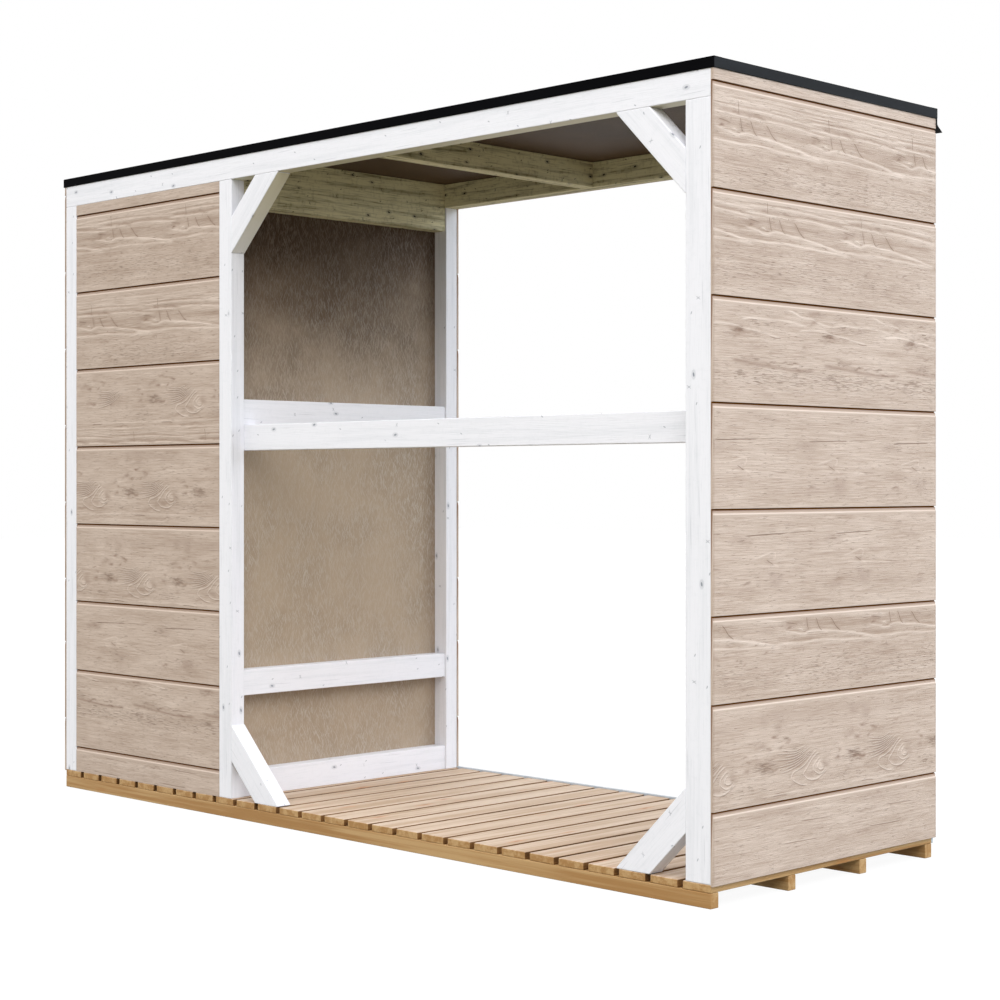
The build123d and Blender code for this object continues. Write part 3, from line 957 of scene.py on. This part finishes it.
# %% Board section
PRESS_DEPTH = 0.5
SLOT_ABOVE = 3.5
SLOT_FLOOR = 3.2
LEDGE_FALL = 8.5
SHOULDER_FALL = 4.0
SHOULDER_OUT = 1.7
LIP_ARRIS = 1.2
ABOVE_FACE = 5
BELOW_FACE = 6


def board_rows(face, top, bottom, joint_above, joint_below, step):
    """Rows of the section from the top round the outside to the bottom, in millimetres.

    Gives how far each row stands out, its level, and its shares of pressed height, painted light and shade
    on the edges, and bare core, which on the ledge also paints the shade under the board above.
    The first five rows lie above the face, and the last six are the lip and the way back to the wall.
    """
    turn = np.linspace(0, np.pi / 2, 5)
    zeros = np.zeros(5)
    if joint_above:
        ledge = face - SHOULDER_OUT
        # In the slot the bare core shows. On the ledge below it, core and a darker edge paint the shade that
        # the board above throws; each row is out, level, edge light, core.
        slot_and_ledge = [
            (0.0, -SLOT_ABOVE, 0.0, 0.0),
            (SLOT_FLOOR, -SLOT_ABOVE, 0.0, 1.0),
            (SLOT_FLOOR, 0.2, 0.0, 1.0),
            (ledge - 0.9, 0.6, 0.0, 0.8),
            (ledge - 0.4, 1.8, -0.3, 0.42),
        ]
        shoulder_out = face - SHOULDER_OUT * (1 - np.sin(turn))
        shoulder_fall = LEDGE_FALL + SHOULDER_FALL * (1 - np.cos(turn))
        # A painted highlight on the shoulder, which catches the light.
        shoulder_light = (-0.1, 0.9, 1.0, 0.8, 0.4)
        shoulder_core = (0.14, 0.0, 0.0, 0.0, 0.0)
        upper = [*slot_and_ledge, *zip(shoulder_out, shoulder_fall, shoulder_light, shoulder_core)]
    else:
        arc = zip(face - LIP_ARRIS * (1 - np.sin(turn)), LIP_ARRIS * (1 - np.cos(turn)), zeros, zeros)
        upper = [(0.0, 0.0, 0.0, 0.0), *arc]
    out, fall, painted_edge_light, core_and_shade = np.array(upper).T
    level = top - fall
    end = bottom + (SLOT_ABOVE if joint_below else 0.0)
    first, last = level[-1] - 1.0, end + LIP_ARRIS + 0.8
    field = np.linspace(first, last, max(int((first - last) / step), 2))
    fade = np.clip((first - field) / 6.0, 0, 1) * np.clip((field - last) / 3.0, 0, 1)
    lip_out = face - LIP_ARRIS * (1 - np.cos(turn))
    lip_level = end + LIP_ARRIS * (1 - np.sin(turn))
    lip_core = [0.0, 0.05, 0.2, 0.5, 0.9, 0.0] if joint_below else [0.0] * BELOW_FACE
    pressed = np.concatenate([np.zeros(len(core_and_shade)), fade, np.zeros(BELOW_FACE)])
    out = np.concatenate([out, np.full(len(field), face), lip_out, [0.0]])
    level = np.concatenate([level, field, lip_level, [end]])
    core_and_shade = np.concatenate([core_and_shade, np.zeros(len(field)), lip_core])
    painted_edge_light = np.concatenate([painted_edge_light, np.zeros(len(field) + BELOW_FACE)])
    return out, level, pressed, painted_edge_light, core_and_shade


# %% [markdown]
# ### A wall of boards
# Each board of a wall is a mesh of its own. Its rows are those of the section, its columns are closer
# together at both ends, where the edge is rounded, and the grid is closed round the back. The finish can't
# see the plate, so the heights, stains and distances travel with the mesh, as vectors on its points.

# %% Clad wall
END_ROUNDING = 0.9
COLUMN_STEP = 6.5
EDGE_LIGHT_AS_HEIGHT = 0.8


def clad_wall(node, along, outward, joints, boards, row_step):
    """Clad a wall: one piece for each board, from the top down.

    along is the direction that runs left to right when the wall is seen from outside. Each board is a list
    of stretches of grain, with their centres along the wall and how much lower than usual they lie.
    """
    room = spans(node) * 1000.0
    along, outward = np.array(along, float), np.array(outward, float)
    along_axis, out_axis = np.abs(along).argmax(), np.abs(outward).argmax()
    start = room[along_axis][0 if along.sum() > 0 else 1]
    inner = room[out_axis][0 if outward.sum() > 0 else 1]
    base = start * np.abs(along) + inner * np.abs(outward)
    length = room[along_axis][1] - room[along_axis][0]
    face = room[out_axis][1] - room[out_axis][0]
    near_end = np.array([0.0, 0.2, 0.5, END_ROUNDING])
    middle = np.linspace(END_ROUNDING, length - END_ROUNDING, int(length / COLUMN_STEP))[1:-1]
    places = np.concatenate([near_end, middle, length - near_end[::-1]])
    inset = np.clip(END_ROUNDING - np.minimum(places, length - places), 0, None)
    ease = END_ROUNDING - np.sqrt(END_ROUNDING**2 - inset**2)
    edges = [room[Z][1], *sorted(joints, reverse=True), room[Z][0]]
    columns = len(places)
    triangles = 0
    for number, stretches in enumerate(boards):
        top, bottom = edges[number], edges[number + 1]
        joint_below = number + 1 < len(boards)
        out, level, *row_shares = board_rows(face, top, bottom, number > 0, joint_below, row_step)
        pressed, painted_edge_light, core_and_shade = (np.repeat(share[:, None], columns, axis=1) for share in row_shares)
        rows = len(level)
        plate = Plate(places, top - level)
        for pattern, centre, drop in stretches:
            plate.move(centre, drop)
            pattern(plate)

        height = np.clip(plate.height, -PRESS_DEPTH, PRESS_DEPTH) * pressed
        # The slope of the pressed heights goes to the finish, which paints up-facing flanks paler and
        # down-facing ones darker.
        slope = -np.gradient(height[ABOVE_FACE:-BELOW_FACE], level[ABOVE_FACE:-BELOW_FACE], axis=0)
        slope = np.pad(slope, ((ABOVE_FACE, BELOW_FACE), (0, 0)))
        sunk = (PRESS_DEPTH - height) * (out > SLOT_FLOOR + 0.6)[:, None]
        depth = np.where(out[:, None] > 0, out[:, None] - sunk - ease, 0.0)
        points = base + places[None, :, None] * along + depth[..., None] * outward
        points[..., Z] = level[:, None]
        column = np.arange(columns - 1)[None, :]
        row = np.arange(rows)[:, None] * columns
        below = (np.arange(rows)[:, None] + 1) % rows * columns
        quads = np.stack([below + column, below + column + 1, row + column + 1, row + column], axis=-1)
        first_column = np.arange(rows) * columns
        caps = [first_column, (first_column + columns - 1)[::-1]]
        behind = (np.arange(rows) >= rows - 2) | (np.arange(rows) < 2)
        shape = (points.reshape(-1, 3) / 1000.0, quads.reshape(-1, 4), caps, np.repeat(behind, columns - 1))

        # Each board reads the noise at another place, and a thin line near each of its ends is darker.
        across, down = np.meshgrid(places, top - level)
        seed = number + len(node)
        end_darkening = 0.5 * np.exp(-(((np.minimum(across, length - across) - 1.4) / 0.9) ** 2))
        # The height carries the painted edge light too: paler shoulders and darker ledges.
        vectors = {
            "board": (across / 1000 + seed * 1.7, down / 1000 + seed * 0.9, slope),
            "pressed": (height + painted_edge_light * EDGE_LIGHT_AS_HEIGHT, plate.stain * pressed + end_darkening, core_and_shade),
            "lines": (plate.distance["pale"], plate.distance["dark"], plate.pores * pressed),
            "shares": (plate.share["pale"] * pressed, plate.share["dark"] * pressed, pressed),
        }
        vectors = {key: np.stack(parts, axis=-1).reshape(-1, 3) for key, parts in vectors.items()}
        mesh_piece(f"{node}_board_{number + 1}", node, shape, [pressed_board], vectors)
        triangles += quads.shape[0] * quads.shape[1] * 2 + 2 * rows
    print(node, "has", len(boards), "boards and", triangles, "triangles")


# %% [markdown]
# ## Cladding the four walls
# The joints of the two end walls and of the back lie at the same levels. The room's front has its own
# levels, because its boards start above the deck and not over its edge. The copies of a stretch lie about
# 400 mm apart, as the plate comes round again, and a board that is cut higher or lower from the sheet shows
# them higher or lower. Each list below has one entry for each board, from the top of its wall down. The two
# walls that the camera sees get finer rows.

# %% Clad the walls
COVER = 278.3
JOINT_HEIGHT = 7.0
FINE_ROWS = 2.1
COARSE_ROWS = 5.0


def joint_levels(node, lower, upper):
    """Levels of a wall's joints in millimetres: one under the narrow board, then a steady cover."""
    wall_top = spans(node)[Z][1] * 1000.0
    count = int((wall_top - upper - JOINT_HEIGHT) / COVER) + 1
    return [lower, lower + COVER, *(upper + COVER * np.arange(count))]


def copies(pattern, drop, *centres):
    """Copies of a stretch of grain about some centres, all lying lower than usual by the drop."""
    return [(pattern, centre, drop) for centre in centres]


end_joints = joint_levels("right_end_cladding", lower=248.0, upper=756.0)
front_joints = joint_levels("room_front_cladding", lower=149.5, upper=677.0)
right_boards = [
    copies(plain, -60, 300, 800), copies(ridged, 31, 75, 477, 889), copies(ridged, 2, -232, 199, 630),
    copies(drifting, 0, 99, 502, 905), copies(calm, 0, 130, 537, 944), copies(calm, -26, -155, 256, 663),
    copies(ridged, -36, -112, 365, 762), copies(swirled, 20, -70, 338, 746), copies(plain, 0, 430, 830)
]
front_boards = [
    copies(plain, -70, 200, 640), copies(ridged, 10, -225, 191, 633), copies(ridged, 39, 68, 471),
    copies(sweeping, -43, 190) + copies(swirled, -43, 608) + copies(ridged, 218, -81, 330, 741),
    copies(swirled, 0, 46, 450), copies(swirled, 25, -83, 325, 733), copies(calm, -25, -150, 251, 660),
    copies(drifting, -66, -42, 370, 782), copies(plain, -40, 240, 640)
]
left_boards = [
    copies(plain, -60, 210, 620), copies(ridged, 0, -90, 330, 750), copies(ridged, 12, 150, 575, 990),
    copies(swirled, -20, 40, 452, 864), copies(calm, 0, 220, 640), copies(drifting, 0, -60, 345, 750),
    copies(ridged, -30, 20, 440, 855), copies(swirled, 10, 180, 590), copies(plain, 0, 360, 760)
]
rear_boards = [
    copies(plain, -60, 120, 560), copies(ridged, 4, 200, 620), copies(ridged, 20, -40, 372, 790),
    copies(drifting, 0, 60, 470, 880), copies(calm, 0, 300, 700), copies(swirled, 0, -10, 400, 812),
    copies(ridged, -30, 100, 520), copies(swirled, 12, 250, 660), copies(plain, 0, 280, 700)
]
clad_wall("right_end_cladding", (0, 1, 0), (1, 0, 0), end_joints, right_boards, FINE_ROWS)
clad_wall("room_front_cladding", (1, 0, 0), (0, -1, 0), front_joints, front_boards, FINE_ROWS)
clad_wall("left_end_cladding", (0, -1, 0), (-1, 0, 0), end_joints, left_boards, COARSE_ROWS)
clad_wall("room_rear_cladding", (-1, 0, 0), (0, 1, 0), end_joints, rear_boards, COARSE_ROWS)
clad_wall("rear_head_board", (-1, 0, 0), (0, 1, 0), [], [copies(plain, -30, 400, 1300)], COARSE_ROWS)

# %% [markdown]
# ## Fibreboard: the partition and the roof from below
# The partition is a thin sheet of pressed fibres, fixed on the room's side of its rails, and the roof deck
# is a thicker one. Low down the board is a paler, greyer brown, and towards the top it is painted dark
# brown:
# painted shade under the roof. An image could show that, but a slow change with height stays sharp and
# fits both sheets, and fine strands of fibre lie on top.

# %% Fibreboard finish
def fibreboard_finish(name, pale, mid, dark, shade_from, shade_full, strand_share):
    """Strands lie in three directions: each set is a noise drawn out along a line turned in the sheet.

    Large clouds decide where the strands show most. Between two levels the colour is painted darker upwards,
    as painted shade under the roof; the levels lie a little higher towards the back, where more light comes
    in.
    """
    finish = Finish(name, 0.55, 0.12)
    place = finish.add("ShaderNodeTexCoord", {}, "Object")
    mottle = finish.noise(finish.stretch(place, (4.0, 4.0, 4.0)), detail=5.0, roughness=0.65)
    strands = None
    for turn, shift in ((0.35, 0.0), (-0.45, 3.7), (0.05, 8.1)):
        turned = finish.add(
            "ShaderNodeMapping", {"Vector": place, "Rotation": (turn, 0.0, turn), "Location": (shift,) * 3}
        )
        stretched = finish.stretch(turned, (260.0, 260.0, 30.0))
        set_of = finish.step(finish.noise(stretched, detail=2.0, roughness=0.6), 0.54, 0.66)
        strands = set_of if strands is None else finish.maths("MAXIMUM", strands, set_of)
    depth, level = finish.parts(place)[1:]
    level = finish.plus(level, depth, -0.18)
    level = finish.plus(level, finish.maths("SUBTRACT", mottle, 0.5), 0.5)
    # Painted shade: between the two levels the colour goes from the mid colour to the dark one.
    high = finish.step(level, shade_from, shade_full)
    clouded = finish.step(mottle, 0.35, 0.7)
    base = finish.over(finish.blend(high, mid, dark), dark, clouded, 0.22)
    shown = finish.maths("ADD", finish.maths("MULTIPLY", clouded, 0.6), 0.4)
    shown = finish.maths("MULTIPLY", strands, shown)
    base = finish.over(base, finish.over(pale, dark, high, 0.6), shown, strand_share)
    return finish.done(base, finish.relief(strands, 0.0005))


# The partition's colour is painted darker towards its top: painted shade under the roof.
partition_finish = fibreboard_finish(
    "partition_board", colour(198, 188, 176), colour(168, 150, 130), colour(64, 46, 30),
    shade_from=1.2, shade_full=2.04, strand_share=0.6
)
roof_finish = fibreboard_finish(
    "roof_board", colour(96, 74, 52), colour(77, 58, 38), colour(62, 47, 32),
    shade_from=2.08, shade_full=2.34, strand_share=0.2
)
for node, finish, slot, arris in (
    ("partition_sheet", partition_finish, "partition_sheet", 0.0008),
    ("roof_sheet", roof_finish, "roof_sheet", 0.0015)
):
    room = spans(node)
    shape = eased_solid(rectangle(room[Z], room[X]), Y, room[Y], arris)
    mesh_piece(node + "_dressed", node, shape, [finish], {})

# %% [markdown]
# ## Roof felt
# The felt lies in three lengths that lap over each other, so its top is stepped. Felt, trims and flashing
# are all sections carried along the roof: the section is drawn as a closed outline, point by point, and its
# two ends are closed with flat faces.

# %% Carry a section
SMOOTH_UP_TO = 0.006


def carried(name, node, outline, axis, finish):
    """A closed outline carried along an axis through the whole of a node, with flat ends.

    Twice the area inside an outline is the sum of x times the next y, less y times the next x. For one that
    runs clockwise it comes out negative, and the outline is turned round, so that all faces point outwards.
    Short sides belong to an arc and are shaded smooth.
    """
    outline = np.array(outline, float)
    following = np.roll(outline, -1, axis=0)
    if (outline[:, 0] * following[:, 1] - outline[:, 1] * following[:, 0]).sum() < 0:
        outline = outline[::-1]
    count = len(outline)
    points = np.empty((2, count, 3))
    points[..., axis] = spans(node)[axis][:, None]
    points[..., (axis + 1) % 3] = outline[:, 0]
    points[..., (axis + 2) % 3] = outline[:, 1]
    here = np.arange(count)
    following = (here + 1) % count
    quads = np.stack([here, following, count + following, count + here], axis=-1)
    flat = np.linalg.norm(outline[following] - outline, axis=1) > SMOOTH_UP_TO
    shape = (points.reshape(-1, 3), quads, [here[::-1], here + count], flat)
    mesh_piece(name, node, shape, [finish], {})


# %% Felt
LAP_STEP = 0.0008
LAP_SLOPE = 0.004
LAP_WIDTH = 0.09
FELT_DARK = colour(26, 27, 29)
FELT_PALE = colour(62, 64, 67)
FELT_STAIN = colour(74, 74, 72)


def felt_finish():
    """Roof felt: mineral grains of many greys, with long stains where water has run."""
    finish = Finish("roof_felt", 0.9, 0.2)
    place = finish.add("ShaderNodeTexCoord", {}, "Object")
    distance, own = finish.cells(finish.stretch(place, (420.0, 420.0, 420.0)))
    stains = finish.noise(finish.stretch(place, (2.0, 0.7, 1.0)), detail=5.0, roughness=0.65)
    base = finish.blend(finish.step(own, 0.1, 1.0), FELT_DARK, FELT_PALE)
    base = finish.over(base, FELT_STAIN, finish.step(stains, 0.5, 0.75), 0.5)
    return finish.done(base, finish.relief(finish.step(distance, 0.7, 0.2), 0.0006))


felt = spans("roof_membrane")
low_top = felt[Z][1] - LAP_STEP
lap_starts = felt[X][0] + (felt[X][1] - felt[X][0]) * np.array([1 / 3, 2 / 3])
lap_line = [(0.0, 0.0), (LAP_STEP, LAP_SLOPE), (LAP_STEP, LAP_WIDTH), (0.0, LAP_WIDTH + LAP_SLOPE)]
laps = [(low_top + rise, start + along) for start in lap_starts for rise, along in lap_line]
left_end = [(felt[Z][0], felt[X][0]), (low_top, felt[X][0])]
right_end = [(low_top, felt[X][1]), (felt[Z][0], felt[X][1])]
carried("roof_felt", "roof_membrane", left_end + laps + right_end, Y, felt_finish())
print("Felt with", len(lap_starts), "laps")

# %% [markdown]
# ## Black trims
# The trims are strips of coated sheet, folded: a leg with a rounded foot stands against the edge of the
# roof, and a thin lip lies over the felt. A box would do from far away, but the lip and the two soft folds
# catch the light along the whole roof. The front one is matt, the others have a slight sheen.

# %% Trims
LIP_REACH = 0.035
LIP_THICKNESS = 0.0005
LIP_FALL = 0.0002
CORNER_ARC = 0.0015


def metal_finish(name, base, speck, roughness, specular):
    """Coated sheet: a dark coat with a very fine mottle and slight waves."""
    finish = Finish(name, roughness, specular)
    place = finish.add("ShaderNodeTexCoord", {}, "Object")
    grains = finish.noise(finish.stretch(place, (900.0, 900.0, 900.0)), detail=1.0)
    dust = finish.noise(finish.stretch(place, (3.0, 3.0, 14.0)), detail=4.0, roughness=0.6)
    mixed = finish.plus(finish.maths("MULTIPLY", grains, 0.5), dust, 0.5)
    mixed = finish.step(mixed, 0.35, 0.75)
    return finish.done(finish.blend(mixed, base, speck), finish.relief(dust, 0.0006))


def trim_section(low, high, leg):
    """Section of a trim, with the leg's outer face at 0 and the roof on the positive side.

    The foot is half a circle as wide as the leg, and the upper corner is a quarter circle. The lip falls a
    little towards the middle of the roof, so that two lips meet in a mitre at the corner.
    """
    radius = leg / 2
    half = np.linspace(0, np.pi, 7)
    quarter = np.linspace(0, np.pi / 2, 5)
    foot = np.stack([radius + radius * np.cos(half), low + radius - radius * np.sin(half)], axis=1)
    corner_out = CORNER_ARC * (1 - np.cos(quarter))
    corner_level = high - CORNER_ARC * (1 - np.sin(quarter))
    lip = [(LIP_REACH, high - LIP_FALL), (LIP_REACH, high - LIP_THICKNESS), (leg, high - LIP_THICKNESS)]
    return np.array([*foot, *zip(corner_out, corner_level), *lip])


def trim(node, axis, toward, finish):
    """Carry the section along a node; toward is 1 or -1, the way from the leg to the roof's middle."""
    room = spans(node)
    across = Y if axis == X else X
    section = trim_section(*room[Z], room[across][1] - room[across][0])
    section[:, 0] = room[across][0 if toward > 0 else 1] + toward * section[:, 0]
    outline = section if axis == X else section[:, ::-1]
    carried(node + "_folded", node, outline, axis, finish)


matt_black = metal_finish(
    "matt_black", colour(4, 4, 6), colour(11, 11, 14), roughness=0.6, specular=0.02
)
satin_black = metal_finish(
    "satin_black", colour(14, 15, 17), colour(30, 33, 37), roughness=0.55, specular=0.1
)
trim("roof_trim_front", X, 1, matt_black)
trim("roof_trim_rear", X, -1, satin_black)
trim("roof_trim_left", Y, 1, satin_black)
trim("roof_trim_right", Y, -1, satin_black)
print("4 trims with a lip of", LIP_REACH * 1000, "mm")

# %% [markdown]
# ## Flashing
# Below the rear trim a bent sheet throws the rain clear of the wall: an upright leg, and one that falls
# outwards. A sheet never bends at a point, so the outer side of the bend is a curve between the two legs,
# pulled towards the corner where they would meet. Its three points are mixed with the weights
# (1 - s) squared, 2 s (1 - s) and s squared, as the share s goes from 0 to 1.

# %% Flashing
SHEET = 0.002
LEG = 0.018
BEND_REACH = 0.006
BEND_FALL = 0.0045

room = spans("drip_flashing")
wall_face, lip = room[Y]
bottom, top = room[Z]
outer_face = wall_face + SHEET
bend = top - LEG
share = np.linspace(0, 1, 6)[:, None]
bend_start = np.array((outer_face + BEND_REACH, bend - BEND_FALL))
bend_middle = np.array((outer_face, bend))
bend_end = np.array((outer_face, bend + BEND_REACH))
curve = (1 - share) ** 2 * bend_start + 2 * share * (1 - share) * bend_middle + share**2 * bend_end
inner_line = [(wall_face, top), (wall_face, bend - SHEET), (lip, bottom), (lip, bottom + SHEET)]
flashing_outline = [*inner_line, *curve, (outer_face, top)]
carried("drip_flashing_bent", "drip_flashing", flashing_outline, X, satin_black)
print("Flashing", round((room[X][1] - room[X][0]) * 1000), "mm long")

# %% [markdown]
# ## The sky
# A studio for one object: a pale floor and an even, bright surrounding. The picture's background has to be
# white without more light falling on the store, so whatever the camera sees directly is white, while the
# light that reaches the store comes from a softer sky, which is brighter overhead than at the horizon.

# %% Sky
def seen_directly(tree):
    """1 for rays that show the background itself, through glass or in a reflection too; 0 for light."""
    rays = tree.nodes.new("ShaderNodeLightPath")
    total = rays.outputs["Is Camera Ray"]
    for name in ("Is Glossy Ray", "Is Transmission Ray"):
        joined = tree.nodes.new("ShaderNodeMath")
        joined.operation = "MAXIMUM"
        tree.links.new(total, joined.inputs[0])
        tree.links.new(rays.outputs[name], joined.inputs[1])
        total = joined.outputs[0]
    return total


HORIZON_LIGHT = 1.2
ZENITH_LIGHT = 2.05
WHITE = (1.0, 1.0, 1.0, 1.0)

world = bpy.data.worlds.new("studio")
world.use_nodes = True
bpy.context.scene.world = world
sky = world.node_tree
light = sky.nodes["Background"]
light.inputs["Color"].default_value = WHITE
direction = sky.nodes.new("ShaderNodeTexCoord")
apart = sky.nodes.new("ShaderNodeSeparateXYZ")
sky.links.new(direction.outputs["Generated"], apart.inputs[0])
graded = sky.nodes.new("ShaderNodeMapRange")
graded.inputs["To Min"].default_value = HORIZON_LIGHT
graded.inputs["To Max"].default_value = ZENITH_LIGHT
sky.links.new(apart.outputs[2], graded.inputs["Value"])
sky.links.new(graded.outputs[0], light.inputs["Strength"])
white = sky.nodes.new("ShaderNodeBackground")
white.inputs["Color"].default_value = WHITE
white.inputs["Strength"].default_value = 1.0
either = sky.nodes.new("ShaderNodeMixShader")
sky.links.new(seen_directly(sky), either.inputs[0])
sky.links.new(light.outputs[0], either.inputs[1])
sky.links.new(white.outputs[0], either.inputs[2])
sky.links.new(either.outputs[0], sky.nodes["World Output"].inputs["Surface"])
print("Sky from", HORIZON_LIGHT, "at the horizon to", ZENITH_LIGHT, "overhead")

# %% [markdown]
# ### The floor
# The floor has two faces too. What the camera sees glows almost white and still takes a soft shadow. What
# the store sees is a dull olive, like the ground in a garden, which warms the undersides a little.

# %% Floor
FLOOR_REACH = 30.0
FLOOR_BOUNCE = (0.155, 0.148, 0.10, 1.0)
FLOOR_SHOWN = (0.075, 0.075, 0.075, 1.0)
FLOOR_GLOW = 0.93

corners = FLOOR_REACH * np.array([(-1, -1, 0), (1, -1, 0), (1, 1, 0), (-1, 1, 0)], float)
floor_mesh = bpy.data.meshes.new("floor")
floor_mesh.from_pydata(corners.tolist(), [], [(0, 1, 2, 3)])
floor = bpy.data.objects.new("floor", floor_mesh)
bpy.context.scene.collection.objects.link(floor)
paper = bpy.data.materials.new("floor_paper")
paper.use_nodes = True
tree = paper.node_tree
tree.nodes.clear()
bounce = tree.nodes.new("ShaderNodeBsdfDiffuse")
bounce.inputs["Color"].default_value = FLOOR_BOUNCE
shown = tree.nodes.new("ShaderNodeBsdfDiffuse")
shown.inputs["Color"].default_value = FLOOR_SHOWN
glow = tree.nodes.new("ShaderNodeEmission")
glow.inputs["Strength"].default_value = FLOOR_GLOW
both = tree.nodes.new("ShaderNodeAddShader")
tree.links.new(shown.outputs[0], both.inputs[0])
tree.links.new(glow.outputs[0], both.inputs[1])
choice = tree.nodes.new("ShaderNodeMixShader")
tree.links.new(seen_directly(tree), choice.inputs[0])
tree.links.new(bounce.outputs[0], choice.inputs[1])
tree.links.new(both.outputs[0], choice.inputs[2])
output = tree.nodes.new("ShaderNodeOutputMaterial")
tree.links.new(choice.outputs[0], output.inputs["Surface"])
floor_mesh.materials.append(paper)
print("Floor", 2 * FLOOR_REACH, "m wide")

# %% [markdown]
# ### Three large lamps
# Large lamps give soft shadows, as windows do. One stands high at the front right and lights the right wall
# and the front. A bluish one low on the right cools the whites. One stands high behind the store and shines
# through the open back on to the partition, which a lamp in front can't reach.

# %% Lamps
def soft_lamp(name, place, target, size, power, tint):
    """A large square lamp at a place, turned to a target."""
    data = bpy.data.lights.new(name, "AREA")
    data.size = size
    data.energy = power
    data.color = tint
    lamp = bpy.data.objects.new(name, data)
    lamp.location = place
    aim = np.array(target, float) - np.array(place, float)
    tilt = np.arctan2(np.hypot(aim[0], aim[1]), -aim[2])
    lamp.rotation_euler = (tilt, 0.0, np.arctan2(-aim[0], aim[1]))
    bpy.context.scene.collection.objects.link(lamp)


soft_lamp("high_window", (10.4, -8.3, 10.3), (0.0, 0.0, 1.1), 9.0, 760.0, (1.0, 1.0, 1.0))
soft_lamp("right_window", (12.5, 1.5, 1.4), (1.5, 0.0, 1.1), 7.0, 350.0, (0.50, 0.70, 1.0))
soft_lamp("rear_window", (8.0, 9.0, 7.5), (-0.5, 0.0, 1.1), 6.0, 440.0, (0.78, 0.88, 1.0))
print("Three large lamps")
